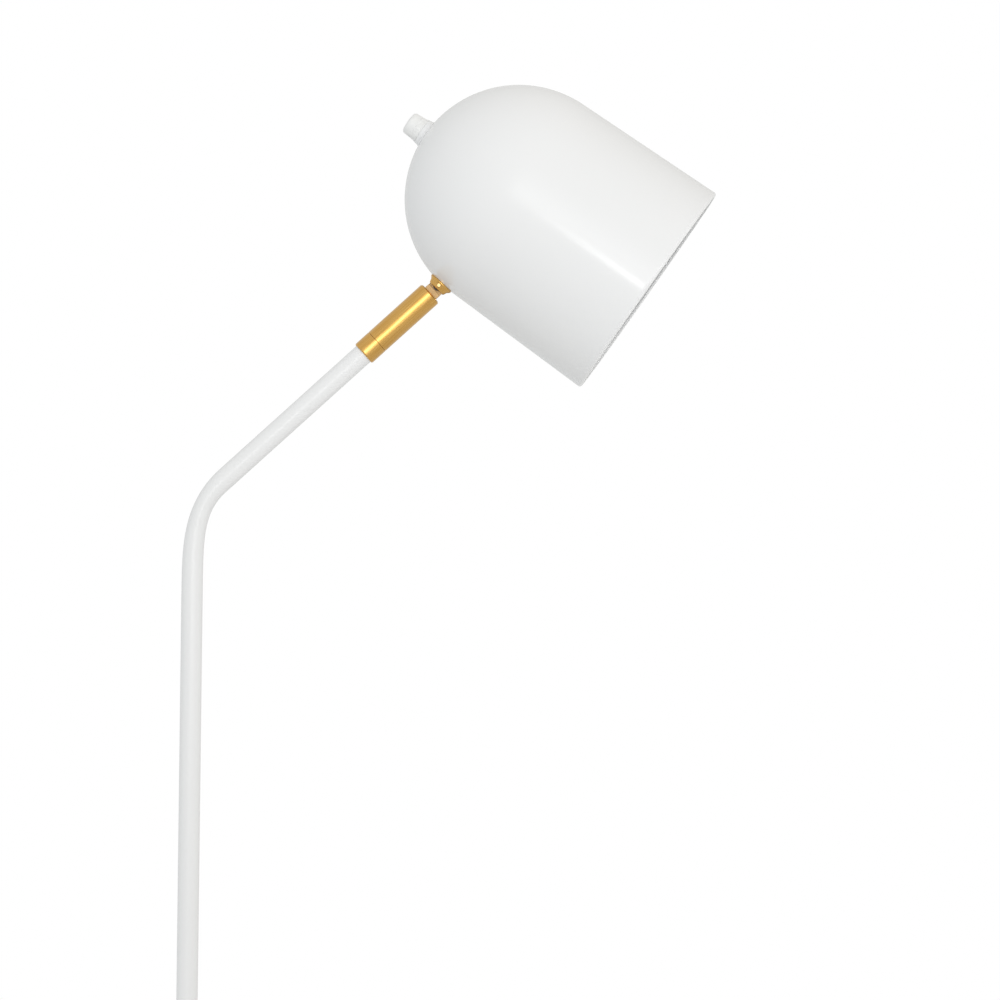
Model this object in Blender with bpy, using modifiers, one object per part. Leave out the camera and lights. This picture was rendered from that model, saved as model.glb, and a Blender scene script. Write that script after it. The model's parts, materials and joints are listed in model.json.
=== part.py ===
"""Adjustable arm floor lamp: weighted round base, bent tube stem, brass swivel sleeve and knuckle, domed shade.

Blender 4.5 script, metres, +Z up.  The origin is the centre of the base's underside, on the floor.
The bent arm, the sleeve and the shade's axis lie in the XZ plane, and the arm leans towards +X.
"""
import math

import bmesh
import bpy
from mathutils import Matrix, Vector

MM = 0.001

# ---------------------------------------------------------------- driving dimensions
GAP = 0.3 * MM                            # clearance between pieces that rest on or fit into each other

# stem and arm
CORNER_HEIGHT = 1230.0 * MM               # floor to the point where the stem's and the arm's axes meet
ARM_ANGLE = math.radians(42.7)            # arm above the horizontal
ARM_LENGTH = 202.6 * MM                   # that point to the top of the brass sleeve
BEND_RADIUS = 58.0 * MM
TUBE_RADIUS = 6.75 * MM
TUBE_WALL = 1.2 * MM
STEM_JOINT_HEIGHT = 620.0 * MM            # where the stem unscrews into two lengths
BUSH_LENGTH = 22.0 * MM                   # threaded bushes pressed into the tube ends
THREAD_ENGAGEMENT = 18.0 * MM
LEAD_RADIUS = 1.6 * MM                    # twisted pair inside the tube
WIRE_WAY = 1.1 * MM                       # room round the leads
THREAD_WALL = 1.3 * MM

# base
BASE_RADIUS = 125.0 * MM
BASE_HEIGHT = 25.0 * MM
BASE_CROWN = 2.0 * MM                     # how far the top falls from its centre to its edge
BASE_EDGE_RADIUS = 7.0 * MM
COVER_WALL = 1.2 * MM
COVER_LIFT = 1.2 * MM                     # cover's edge above the floor
PAD_THICKNESS = 2.0 * MM
WEIGHT_INSET = 5.0 * MM                   # weight's rim inside the cover's skirt
RECESS_RADIUS = 42.0 * MM                 # wiring recess under the weight
RECESS_HEIGHT = 15.6 * MM
GLAND_HEIGHT = 10.0 * MM
GLAND_BORE = 3.4 * MM
GLAND_WALL = 1.3 * MM
GLAND_FLANGE = 1.6 * MM                   # flange round the gland's neck, outside the cover
GLAND_PROUD = 2.0 * MM
GLAND_BARB = 1.0 * MM                     # barb behind the cover's wall
GLAND_TAIL = 1.8 * MM
GROOVE_HALF_WIDTH = 5.0 * MM              # cord's way under the weight
GROOVE_HEIGHT = 14.0 * MM
WASHER_HEIGHT = 1.2 * MM
LOCK_WASHER_HEIGHT = 0.8 * MM
NUT_HEIGHT = 3.5 * MM
BLOCK_NEAR = 15.0 * MM                    # terminal block, from the stem's axis
BLOCK_FAR = 38.0 * MM
BLOCK_HALF_WIDTH = 9.0 * MM
BLOCK_TOP = 12.0 * MM
EARTH_SCREW_PLACE = (24.0 * MM, 14.0 * MM)
EARTH_SCREW_RADIUS = 3.8 * MM
EARTH_SCREW_HEIGHT = 2.6 * MM
FOOT_RADIUS = 13.0 * MM
FOOT_HEIGHT = 14.0 * MM
FOOT_FLOOR = 3.0 * MM
FOOT_LIP = 1.6 * MM                       # wall left at the top of the foot

# brass sleeve
SLEEVE_WALL = 0.95 * MM                   # ring over the arm tube
RING_LENGTH = 11.3 * MM
SWIVEL_LENGTH = 45.6 * MM
SWIVEL_WALL = 2.0 * MM
SWIVEL_FLOOR = 3.0 * MM
SLEEVE_CHAMFER = 0.7 * MM
FRICTION_WASHER = 0.5 * MM                # thicknesses
SPRING_WASHER = 0.6 * MM
SPINDLE_HEAD = 3.0 * MM
FRICTION_INSET = 1.6 * MM                 # friction washer's edge inside the sleeve's outside

# knuckle
PIVOT_ABOVE_SLEEVE = 7.25 * MM
NECK_WIDTH = 10.0 * MM
NECK_THICKNESS = 5.0 * MM
NECK_LENGTH = 3.4 * MM                    # the thick flat part above the sleeve
TONGUE_THICKNESS = 3.0 * MM
PLUG_LENGTH = 8.0 * MM                    # tongue's round end, fixed in the sleeve's bore
NECK_ROOT = 4.0 * MM                      # how far the flat neck reaches into the plug
NECK_WIRE_WAY = 0.8 * MM
PIN_RADIUS = 1.3 * MM
COLLAR_BELOW_PIVOT = 3.2 * MM
COLLAR_ABOVE_PIVOT = 2.1 * MM             # pivot to the dome's surface
COLLAR_NARROW = 6.4 * MM
COLLAR_WIDE = 8.8 * MM
SPIGOT_RADIUS = 6.9 * MM
SPIGOT_LENGTH = 7.2 * MM                  # collar's thread inside the dome
COLLAR_EDGE = 0.6 * MM
SLOT_ABOVE_DOME = 0.9 * MM                # slot's end, past the dome's surface
SLOT_CLEARANCE = 0.45 * MM                # round the tongue's end
COLLAR_WASHER_WIDTH = 3.6 * MM
COLLAR_WASHER_HEIGHT = 1.0 * MM
COLLAR_NUT_WALL = 2.6 * MM
COLLAR_NUT_HEIGHT = 3.0 * MM
TILT_AT_REST = math.radians(5.0)          # collar's axis against the arm's axis
COLLAR_TO_SHADE = math.radians(82.3)      # collar's axis against the shade's axis

# shade
DOME_RADIUS = 72.7 * MM
RIM_RADIUS = 75.0 * MM
BARREL_LENGTH = 100.6 * MM
SHADE_WALL = 1.0 * MM
RIM_ROUND = 1.6 * MM                      # turned-in edge

# switch and knob
BUSHING_RADIUS = 5.0 * MM                 # threaded neck through the apex
SPINDLE_RADIUS = 3.0 * MM
RING_NUT_RADIUS = 9.0 * MM
RING_NUT_HEIGHT = 2.9 * MM
KNOB_BASE_RADIUS = 8.3 * MM
KNOB_TOP_RADIUS = 7.2 * MM
KNOB_LENGTH = 11.7 * MM
KNOB_ROUND = 1.3 * MM
KNOB_SKIRT = 0.9 * MM                     # plain edge below the knurled band
KNOB_ROOF = 3.2 * MM
SWITCH_RADIUS = 13.0 * MM
SWITCH_LENGTH = 17.7 * MM
SPINDLE_POCKET = 6.5 * MM                 # depth of the spindle's bore below the switch's shoulder

# lampholder and bulb
SPACER_HEIGHT = 4.0 * MM                  # apex to the holder cup's floor, along the axis
CUP_RADIUS = 19.0 * MM
CUP_WALL = 1.0 * MM
CUP_LENGTH = 46.0 * MM
HOLDER_START = 26.0 * MM                  # back of the lampholder, from the apex
HOLDER_LENGTH = 38.0 * MM
HOLDER_FLOOR = 8.0 * MM
HOLDER_RING_WIDTH = 2.9 * MM
CONTACT_RADIUS = 3.5 * MM
CONTACT_HEIGHT = 0.8 * MM
CUP_LEAD_DROP = 9.0 * MM                  # lead's hole, below the cup's floor
SHELL_WALL = 0.3 * MM
CAP_RADIUS = 13.3 * MM
GLOBE_RADIUS = 22.5 * MM
BULB_NECK_LENGTH = 21.5 * MM
GLOBE_WALL = 0.9 * MM
GLOBE_BASE = 0.91 * GLOBE_RADIUS          # where the diffuser sits on the bulb's neck
CAP_STEP = 2.0 * MM                       # from the lampholder's contact to the cap's tip
CAP_TAPER = 4.0 * MM

FINE = 44                                 # facets round the shade and the base
MEDIUM = 24                               # round the tubes, the brass and the lampholder
SMALL = 16
BEND_STEPS = 12

# ---------------------------------------------------------------- worked-out dimensions
LEAD_BORE = LEAD_RADIUS + WIRE_WAY
STUD_RADIUS = LEAD_BORE + THREAD_WALL
STUD_HOLE = STUD_RADIUS + GAP
TUBE_BORE = TUBE_RADIUS - TUBE_WALL
SLEEVE_RADIUS = TUBE_RADIUS + GAP + SLEEVE_WALL
SLEEVE_BORE = SLEEVE_RADIUS - SWIVEL_WALL
SLEEVE_BOTTOM = ARM_LENGTH - SWIVEL_LENGTH            # swivelling part's lower face, along the arm
RING_TOP = SLEEVE_BOTTOM - GAP
RING_BOTTOM = RING_TOP - RING_LENGTH
RING_LIP = 1.0 * MM
TUBE_END = RING_TOP - RING_LIP - GAP
PIVOT_DISTANCE = ARM_LENGTH + PIVOT_ABOVE_SLEEVE
COLLAR_ANGLE = ARM_ANGLE + TILT_AT_REST
SHADE_ANGLE = COLLAR_ANGLE - COLLAR_TO_SHADE          # the way the mouth points, below the horizontal
SHADE_LENGTH = BARREL_LENGTH + DOME_RADIUS
DOME_CENTRE_FROM_PIVOT = DOME_RADIUS + COLLAR_ABOVE_PIVOT
FOOT_TUBE_SEAT = BASE_HEIGHT + GAP + FOOT_FLOOR + GAP
SLOT_HALF = NECK_THICKNESS / 2 + GAP


# ---------------------------------------------------------------- helpers
def clear_scene():
    for item in list(bpy.data.objects):
        bpy.data.objects.remove(item, do_unlink=True)


def new_collection(name):
    collection = bpy.data.collections.new(name)
    bpy.context.scene.collection.children.link(collection)
    return collection


def make_material(name, colour, roughness, metallic):
    material = bpy.data.materials.new(name)
    material.use_nodes = True
    shader = material.node_tree.nodes["Principled BSDF"]
    shader.inputs["Base Color"].default_value = (*colour, 1.0)
    shader.inputs["Roughness"].default_value = roughness
    shader.inputs["Metallic"].default_value = metallic
    material.diffuse_color = (*colour, 1.0)
    return material


clear_scene()
LAMP = new_collection("adjustable_arm_floor_lamp")
CUTTERS = new_collection("cutters")

WHITE = make_material("white_enamel", (0.86, 0.86, 0.84), 0.35, 0.0)
BRASS = make_material("brushed_brass", (0.78, 0.57, 0.28), 0.28, 1.0)
IRON = make_material("cast_iron", (0.10, 0.10, 0.10), 0.75, 1.0)
STEEL = make_material("zinc_steel", (0.62, 0.63, 0.65), 0.35, 1.0)
ALUMINIUM = make_material("bulb_aluminium", (0.70, 0.71, 0.72), 0.40, 1.0)
FELT = make_material("black_felt", (0.05, 0.05, 0.05), 0.95, 0.0)
RUBBER = make_material("rubber", (0.06, 0.06, 0.06), 0.80, 0.0)
NYLON = make_material("nylon", (0.80, 0.78, 0.70), 0.50, 0.0)
PHENOLIC = make_material("black_phenolic", (0.03, 0.03, 0.03), 0.40, 0.0)
PLASTIC = make_material("white_plastic", (0.85, 0.85, 0.83), 0.40, 0.0)
LEAD = make_material("lead_insulation", (0.70, 0.70, 0.68), 0.50, 0.0)
OPAL = make_material("opal_diffuser", (0.92, 0.91, 0.88), 0.45, 0.0)


def make_empty(name, location, tilt, parent=None):
    """An empty whose local Z is world Z turned by tilt about the Y axis, placed in its parent's frame."""
    empty = bpy.data.objects.new(name, None)
    LAMP.objects.link(empty)
    empty.parent = parent
    empty.location = location
    empty.rotation_euler = (0.0, tilt, 0.0)
    return empty


def add_object(name, data, material, parent=None, collection=LAMP):
    item = bpy.data.objects.new(name, data)
    collection.objects.link(item)
    if material is not None:
        data.materials.append(material)
    item.parent = parent
    return item


def turned(name, profile, material, parent=None, facets=SMALL, closed=False, collection=LAMP):
    """A turned piece about its parent's Z: profile points are (radius, height), outer side from top to bottom."""
    mesh = bpy.data.meshes.new(name)
    points = [(radius, 0.0, height) for radius, height in profile]
    edges = [(index, index + 1) for index in range(len(points) - 1)]
    if closed:
        edges.append((len(points) - 1, 0))
    mesh.from_pydata(points, edges, [])
    item = add_object(name, mesh, material, parent, collection)
    screw = item.modifiers.new("turn", "SCREW")
    screw.axis = "Z"
    screw.steps = facets
    screw.render_steps = facets
    screw.use_merge_vertices = True
    screw.merge_threshold = 0.00001
    screw.use_smooth_shade = True
    return item


def ring(name, outer, inner, top, bottom, material, parent=None, facets=SMALL):
    """A plain washer, bush or tube."""
    profile = [(outer, top), (outer, bottom), (inner, bottom), (inner, top)]
    return turned(name, profile, material, parent, facets, closed=True)


def mesh_from_bmesh(name, shape):
    mesh = bpy.data.meshes.new(name)
    shape.to_mesh(mesh)
    shape.free()
    return mesh


def box(name, low, high, material=None, parent=None, collection=LAMP):
    shape = bmesh.new()
    bmesh.ops.create_cube(shape, size=1.0)
    size = Vector(high) - Vector(low)
    middle = (Vector(high) + Vector(low)) / 2
    bmesh.ops.transform(shape, matrix=Matrix.Translation(middle) @ Matrix.Diagonal((*size, 1.0)), verts=shape.verts)
    return add_object(name, mesh_from_bmesh(name, shape), material, parent, collection)


def rod(name, radius, low, high, axis="Z", place=(0.0, 0.0, 0.0), material=None, parent=None, facets=SMALL,
        collection=LAMP):
    """A cylinder along X, Y or Z from low to high, through the point place."""
    shape = bmesh.new()
    bmesh.ops.create_cone(shape, cap_ends=True, segments=facets, radius1=radius, radius2=radius, depth=high - low)
    turn = {"X": Matrix.Rotation(math.pi / 2, 4, "Y"), "Y": Matrix.Rotation(-math.pi / 2, 4, "X"), "Z": Matrix()}
    shift = Matrix.Translation((0.0, 0.0, (high + low) / 2))
    bmesh.ops.transform(shape, matrix=Matrix.Translation(place) @ turn[axis] @ shift, verts=shape.verts)
    return add_object(name, mesh_from_bmesh(name, shape), material, parent, collection)


def hide_cutter(cutter):
    cutter.hide_render = True
    cutter.display_type = "WIRE"
    for owner in list(cutter.users_collection):
        owner.objects.unlink(cutter)
    CUTTERS.objects.link(cutter)


def combine(item, other, operation):
    """Cut other out of item, or join it on.  The other object stays as a hidden guide."""
    hide_cutter(other)
    step = item.modifiers.new(operation.lower(), "BOOLEAN")
    step.operation = operation
    step.solver = "EXACT"
    step.object = other


def cut(item, *others):
    for other in others:
        combine(item, other, "DIFFERENCE")


def join(item, *others):
    for other in others:
        combine(item, other, "UNION")


def shell(item, thickness):
    """Thicken an open surface towards its inside."""
    solid = item.modifiers.new("wall", "SOLIDIFY")
    solid.thickness = thickness
    solid.offset = -1.0
    return item


def chamfer(item, width):
    """A one-step bevel on the sharp edges."""
    edge = item.modifiers.new("chamfer", "BEVEL")
    edge.width = width
    edge.segments = 1
    edge.limit_method = "ANGLE"
    edge.angle_limit = math.radians(50)


def tube_curve(name, points, radius, sides_resolution, material, parent=None, capped=True):
    """A round tube or lead along points, as a curve with a bevel depth."""
    curve = bpy.data.curves.new(name, "CURVE")
    curve.dimensions = "3D"
    curve.bevel_depth = radius
    curve.bevel_resolution = sides_resolution
    curve.use_fill_caps = capped
    spline = curve.splines.new("POLY")
    spline.points.add(len(points) - 1)
    for spot, point in zip(spline.points, points):
        spot.co = (*point, 1.0)
    return add_object(name, curve, material, parent)


def arc_points(centre, radius, start, end, count):
    """Points (x, z) of an arc, angles from +X towards +Z."""
    spots = []
    for index in range(count + 1):
        angle = start + (end - start) * index / count
        spots.append((centre[0] + radius * math.cos(angle), centre[1] + radius * math.sin(angle)))
    return spots


def smooth_route(control, count):
    """Points on one Catmull-Rom curve through the control points, count per stretch."""
    spots = [Vector(point) for point in control]
    spots = [spots[0] * 2 - spots[1]] + spots + [spots[-1] * 2 - spots[-2]]
    route = []
    for index in range(1, len(spots) - 2):
        before, here, there, after = spots[index - 1:index + 3]
        for step in range(count):
            t = step / count
            point = 0.5 * (2 * here + (there - before) * t + (2 * before - 5 * here + 4 * there - after) * t ** 2
                           + (3 * here - before - 3 * there + after) * t ** 3)
            route.append(point)
    route.append(spots[-2])
    return route


# ---------------------------------------------------------------- frames of the moving pieces
ARM_FRAME = make_empty("arm_axis", (0.0, 0.0, CORNER_HEIGHT), math.pi / 2 - ARM_ANGLE)
HEAD_PIVOT = make_empty("head_pivot", (0.0, 0.0, PIVOT_DISTANCE), -TILT_AT_REST, ARM_FRAME)
DOME_CENTRE = make_empty("dome_centre", (0.0, 0.0, DOME_CENTRE_FROM_PIVOT), COLLAR_TO_SHADE - math.pi, HEAD_PIVOT)
# the apex frame's Z points out of the dome along the shade's axis, and its -X side faces the collar
APEX = make_empty("apex", (0.0, 0.0, DOME_RADIUS), 0.0, DOME_CENTRE)


# ---------------------------------------------------------------- base
def crown_height(radius):
    """Height of the base's top at a distance from its centre."""
    return BASE_HEIGHT - BASE_CROWN * (radius / BASE_RADIUS) ** 2


def base_cover():
    shoulder = BASE_RADIUS - BASE_EDGE_RADIUS
    profile = []
    steps = 3
    for index in range(steps + 1):
        radius = STUD_HOLE + (shoulder - STUD_HOLE) * index / steps
        profile.append((radius, crown_height(radius)))
    centre = (shoulder, crown_height(shoulder) - BASE_EDGE_RADIUS)
    profile += arc_points(centre, BASE_EDGE_RADIUS, math.pi / 2, 0.0, 4)[1:]
    profile.append((BASE_RADIUS, COVER_LIFT))
    cover = shell(turned("base_cover", profile, WHITE, facets=FINE), COVER_WALL)
    cut(cover, rod("gland_hole", GLAND_BORE + GLAND_WALL + GAP, -BASE_RADIUS - 2 * MM, -BASE_RADIUS + 8 * MM,
                   "X", (0.0, 0.0, GLAND_HEIGHT)))
    return cover


def base_weight():
    rim = BASE_RADIUS - COVER_WALL - WEIGHT_INSET
    bottom = PAD_THICKNESS + GAP
    profile = []
    steps = 4
    under_cover = COVER_WALL + 2 * GAP
    for index in range(steps + 1):
        radius = STUD_HOLE + (rim - 2 * MM - STUD_HOLE) * index / steps
        profile.append((radius, crown_height(radius) - under_cover))
    profile += [(rim, crown_height(rim) - under_cover - 4 * MM), (rim, bottom), (RECESS_RADIUS, bottom),
                (RECESS_RADIUS, RECESS_HEIGHT), (STUD_HOLE, RECESS_HEIGHT)]
    weight = turned("base_weight", profile, IRON, facets=FINE, closed=True)
    groove = box("cord_groove", (-BASE_RADIUS, -GROOVE_HALF_WIDTH, bottom - MM),
                 (-RECESS_RADIUS + 3 * MM, GROOVE_HALF_WIDTH, GROOVE_HEIGHT))
    cut(weight, groove)
    return weight


def base_pieces():
    rod("base_pad", BASE_RADIUS - COVER_WALL - WEIGHT_INSET, 0.0, PAD_THICKNESS, material=FELT, facets=FINE)
    base_weight()
    base_cover()
    neck = GLAND_BORE + GLAND_WALL
    flange = neck + GLAND_FLANGE
    inner_face = BASE_RADIUS - COVER_WALL
    wall_sag = BASE_RADIUS - math.sqrt(BASE_RADIUS ** 2 - flange ** 2)
    gland_frame = make_empty("gland_axis", (0.0, 0.0, GLAND_HEIGHT), -math.pi / 2)
    outside = BASE_RADIUS + GAP
    inside = inner_face - wall_sag - GAP
    tail = inside - GLAND_TAIL
    profile = [(neck, outside + GLAND_PROUD), (flange, outside + 0.65 * GLAND_PROUD), (flange, outside),
               (neck, outside), (neck, inside), (neck + GLAND_BARB, inside), (neck + 0.6 * GLAND_BARB, tail),
               (GLAND_BORE, tail), (GLAND_BORE, outside + GLAND_PROUD)]
    turned("cord_gland", profile, RUBBER, gland_frame, closed=True)


def hex_nut(name, across_flats, hole, bottom, height, material, parent=None):
    nut = rod(name, across_flats / math.sqrt(3), bottom, bottom + height, material=material, parent=parent, facets=6)
    cut(nut, rod(name + "_hole", hole, bottom - MM, bottom + height + MM, parent=parent))
    return nut


def base_fixings():
    washer_top = RECESS_HEIGHT - GAP
    washer_bottom = washer_top - WASHER_HEIGHT
    lock_top = washer_bottom - GAP
    lock_bottom = lock_top - LOCK_WASHER_HEIGHT
    nut_bottom = lock_bottom - GAP - NUT_HEIGHT
    nipple_top = FOOT_TUBE_SEAT + THREAD_ENGAGEMENT
    ring("base_nipple", STUD_RADIUS, LEAD_BORE, nipple_top, nut_bottom - 0.5 * MM, STEEL)
    ring("base_washer", STUD_HOLE + 9 * MM, STUD_HOLE, washer_top, washer_bottom, STEEL, facets=MEDIUM)
    ring("base_lock_washer", STUD_HOLE + 3 * MM, STUD_HOLE, lock_top, lock_bottom, STEEL)
    hex_nut("base_nut", 2 * STUD_HOLE + 6 * MM, STUD_HOLE, nut_bottom, NUT_HEIGHT, STEEL)
    block = box("terminal_block", (-BLOCK_FAR, -BLOCK_HALF_WIDTH, PAD_THICKNESS + 2 * GAP),
                (-BLOCK_NEAR, BLOCK_HALF_WIDTH, BLOCK_TOP), PLASTIC)
    chamfer(block, MM)
    screw_top = RECESS_HEIGHT - GAP
    rod("earth_screw", EARTH_SCREW_RADIUS, screw_top - EARTH_SCREW_HEIGHT, screw_top,
        place=(*EARTH_SCREW_PLACE, 0.0), material=BRASS)


# ---------------------------------------------------------------- stem
def stem_pieces():
    foot_bottom = BASE_HEIGHT + GAP
    neck = TUBE_RADIUS + GAP
    top = foot_bottom + FOOT_HEIGHT
    lip = neck + FOOT_LIP
    sweep = arc_points((FOOT_RADIUS, top - MM), FOOT_RADIUS - lip, math.pi, 1.5 * math.pi, 4)
    skirt = max(sweep[-1][1], foot_bottom + MM)
    profile = [(lip - 0.6 * MM, top)] + sweep[:-1] + [(FOOT_RADIUS, skirt), (FOOT_RADIUS, foot_bottom),
               (STUD_HOLE, foot_bottom), (STUD_HOLE, foot_bottom + FOOT_FLOOR), (neck, foot_bottom + FOOT_FLOOR),
               (neck, top)]
    turned("stem_foot", profile, WHITE, facets=MEDIUM, closed=True)

    joint_low = STEM_JOINT_HEIGHT - GAP / 2
    joint_high = STEM_JOINT_HEIGHT + GAP / 2
    bush = TUBE_BORE - GAP
    ring("lower_stem", TUBE_RADIUS, TUBE_BORE, joint_low, FOOT_TUBE_SEAT, WHITE, facets=MEDIUM)
    ring("foot_bush", bush, STUD_HOLE, FOOT_TUBE_SEAT + BUSH_LENGTH, FOOT_TUBE_SEAT, BRASS)
    ring("coupler_socket", bush, STUD_HOLE, joint_low, joint_low - BUSH_LENGTH, BRASS)
    ring("coupler_bush", bush, STUD_HOLE, joint_high + BUSH_LENGTH, joint_high, BRASS)
    ring("coupler_stud", STUD_RADIUS, LEAD_BORE, joint_high + THREAD_ENGAGEMENT, joint_low - THREAD_ENGAGEMENT, BRASS)
    arm_tube(joint_high)


def bend_route(start_height, end_distance, bend_steps):
    """Centre line of the bent tube: up the stem, round the bend and along the arm."""
    turn = math.pi / 2 - ARM_ANGLE
    tangent = BEND_RADIUS * math.tan(turn / 2)
    arc_start = CORNER_HEIGHT - tangent
    route = [(0.0, 0.0, start_height)]
    for x, z in arc_points((BEND_RADIUS, arc_start), BEND_RADIUS, math.pi, math.pi - turn, bend_steps):
        route.append((x, 0.0, z))
    end = (end_distance * math.cos(ARM_ANGLE), 0.0, CORNER_HEIGHT + end_distance * math.sin(ARM_ANGLE))
    route.append(end)
    return route


def arm_tube(bottom):
    tube = tube_curve("arm_tube", bend_route(bottom, TUBE_END, BEND_STEPS), TUBE_RADIUS, 8, WHITE, capped=False)
    shell(tube, TUBE_WALL)


# ---------------------------------------------------------------- brass sleeve and swivel
def sleeve_pieces():
    bush = TUBE_BORE - GAP
    ring("arm_end_bush", bush, STUD_HOLE, TUBE_END, TUBE_END - BUSH_LENGTH, BRASS, ARM_FRAME)

    fine = SLEEVE_CHAMFER / 2
    profile = [(SLEEVE_RADIUS - fine, RING_TOP), (SLEEVE_RADIUS, RING_TOP - fine),
               (SLEEVE_RADIUS, RING_BOTTOM + SLEEVE_CHAMFER), (SLEEVE_RADIUS - SLEEVE_CHAMFER / 2, RING_BOTTOM),
               (TUBE_RADIUS + GAP, RING_BOTTOM), (TUBE_RADIUS + GAP, RING_TOP - RING_LIP),
               (STUD_HOLE, RING_TOP - RING_LIP), (STUD_HOLE, RING_TOP)]
    turned("sleeve_ring", profile, BRASS, ARM_FRAME, MEDIUM, closed=True)

    washer = SLEEVE_RADIUS - FRICTION_INSET
    washer_top = SLEEVE_BOTTOM + FRICTION_WASHER
    ring("swivel_friction_washer", washer, STUD_HOLE, washer_top, SLEEVE_BOTTOM, NYLON, ARM_FRAME)

    floor_bottom = washer_top + GAP
    floor_top = floor_bottom + SWIVEL_FLOOR
    profile = [(SLEEVE_RADIUS - SLEEVE_CHAMFER, ARM_LENGTH), (SLEEVE_RADIUS, ARM_LENGTH - SLEEVE_CHAMFER),
               (SLEEVE_RADIUS, SLEEVE_BOTTOM + fine), (SLEEVE_RADIUS - fine, SLEEVE_BOTTOM),
               (washer + GAP, SLEEVE_BOTTOM), (washer + GAP, floor_bottom), (STUD_HOLE, floor_bottom),
               (STUD_HOLE, floor_top), (SLEEVE_BORE, floor_top), (SLEEVE_BORE, ARM_LENGTH)]
    turned("swivel_sleeve", profile, BRASS, ARM_FRAME, MEDIUM, closed=True)

    head = SLEEVE_BORE - 2 * GAP
    spring_bottom = floor_top + GAP
    spring_top = spring_bottom + SPRING_WASHER
    head_bottom = spring_top + GAP
    head_top = head_bottom + SPINDLE_HEAD
    ring("swivel_spring_washer", head, STUD_HOLE, spring_top, spring_bottom, STEEL, ARM_FRAME)
    shank_end = TUBE_END - THREAD_ENGAGEMENT
    profile = [(head, head_top), (head, head_bottom), (STUD_RADIUS, head_bottom), (STUD_RADIUS, shank_end),
               (LEAD_BORE, shank_end), (LEAD_BORE, head_top)]
    turned("swivel_spindle", profile, BRASS, ARM_FRAME, closed=True)
    return head_top


# ---------------------------------------------------------------- knuckle
def outline(name, points, thickness, material, parent):
    """A flat plate in the parent's XZ plane, from its 2D outline, as a mesh."""
    curve = bpy.data.curves.new(name, "CURVE")
    curve.dimensions = "2D"
    curve.fill_mode = "BOTH"
    curve.extrude = thickness / 2
    spline = curve.splines.new("POLY")
    spline.points.add(len(points) - 1)
    for spot, (x, z) in zip(spline.points, points):
        spot.co = (x, z, 0.0, 1.0)
    spline.use_cyclic_u = True
    guide = add_object(name + "_outline", curve, material)
    guide.rotation_euler = (math.pi / 2, 0.0, 0.0)
    bpy.context.view_layer.update()
    graph = bpy.context.evaluated_depsgraph_get()
    mesh = bpy.data.meshes.new_from_object(guide.evaluated_get(graph))
    mesh.transform(guide.matrix_world)
    shape = bmesh.new()
    shape.from_mesh(mesh)
    bmesh.ops.remove_doubles(shape, verts=shape.verts, dist=0.00001)
    bmesh.ops.recalc_face_normals(shape, faces=shape.faces)
    shape.to_mesh(mesh)
    shape.free()
    bpy.data.objects.remove(guide, do_unlink=True)
    plate = add_object(name, mesh, None, parent)
    return plate


def knuckle_tongue():
    """Plug in the sleeve's bore, thick flat neck and thin rounded tongue with the pin's hole, on the arm's axis."""
    half = NECK_WIDTH / 2
    plug = SLEEVE_BORE - GAP
    tongue = rod("knuckle_tongue", plug, ARM_LENGTH - PLUG_LENGTH, ARM_LENGTH, material=BRASS, parent=ARM_FRAME,
                 facets=MEDIUM)
    neck = box("neck_block", (-half, -NECK_THICKNESS / 2, ARM_LENGTH - NECK_ROOT),
               (half, NECK_THICKNESS / 2, ARM_LENGTH + NECK_LENGTH), parent=ARM_FRAME)
    trim = rod("neck_trim", plug - 0.4 * MM, ARM_LENGTH - 5 * MM, ARM_LENGTH + 20 * MM, parent=ARM_FRAME, facets=MEDIUM)
    combine(neck, trim, "INTERSECT")
    points = [(-half, ARM_LENGTH - 3 * MM), (half, ARM_LENGTH - 3 * MM)]
    points += arc_points((0.0, PIVOT_DISTANCE), half, 0.0, math.pi, 12)
    plate = outline("tongue_plate", points, TONGUE_THICKNESS, None, ARM_FRAME)
    join(tongue, neck, plate)
    cut(tongue, rod("tongue_pin_hole", PIN_RADIUS + 0.1 * MM, -10 * MM, 10 * MM, "Y", (0.0, 0.0, PIVOT_DISTANCE),
                    parent=ARM_FRAME))
    for side in (-1, 1):
        way = rod(f"wire_way_{side + 1}", NECK_WIRE_WAY, ARM_LENGTH - 10 * MM, ARM_LENGTH + 20 * MM,
                  place=(side * 0.3 * NECK_WIDTH, 0.0, 0.0), parent=ARM_FRAME, facets=8)
        cut(tongue, way)


def dome_height(radius, offset):
    """Height above the pivot, along the collar's axis, of a sphere offset outwards from the dome's outside."""
    return DOME_CENTRE_FROM_PIVOT - math.sqrt((DOME_RADIUS + offset) ** 2 - radius ** 2)


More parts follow.
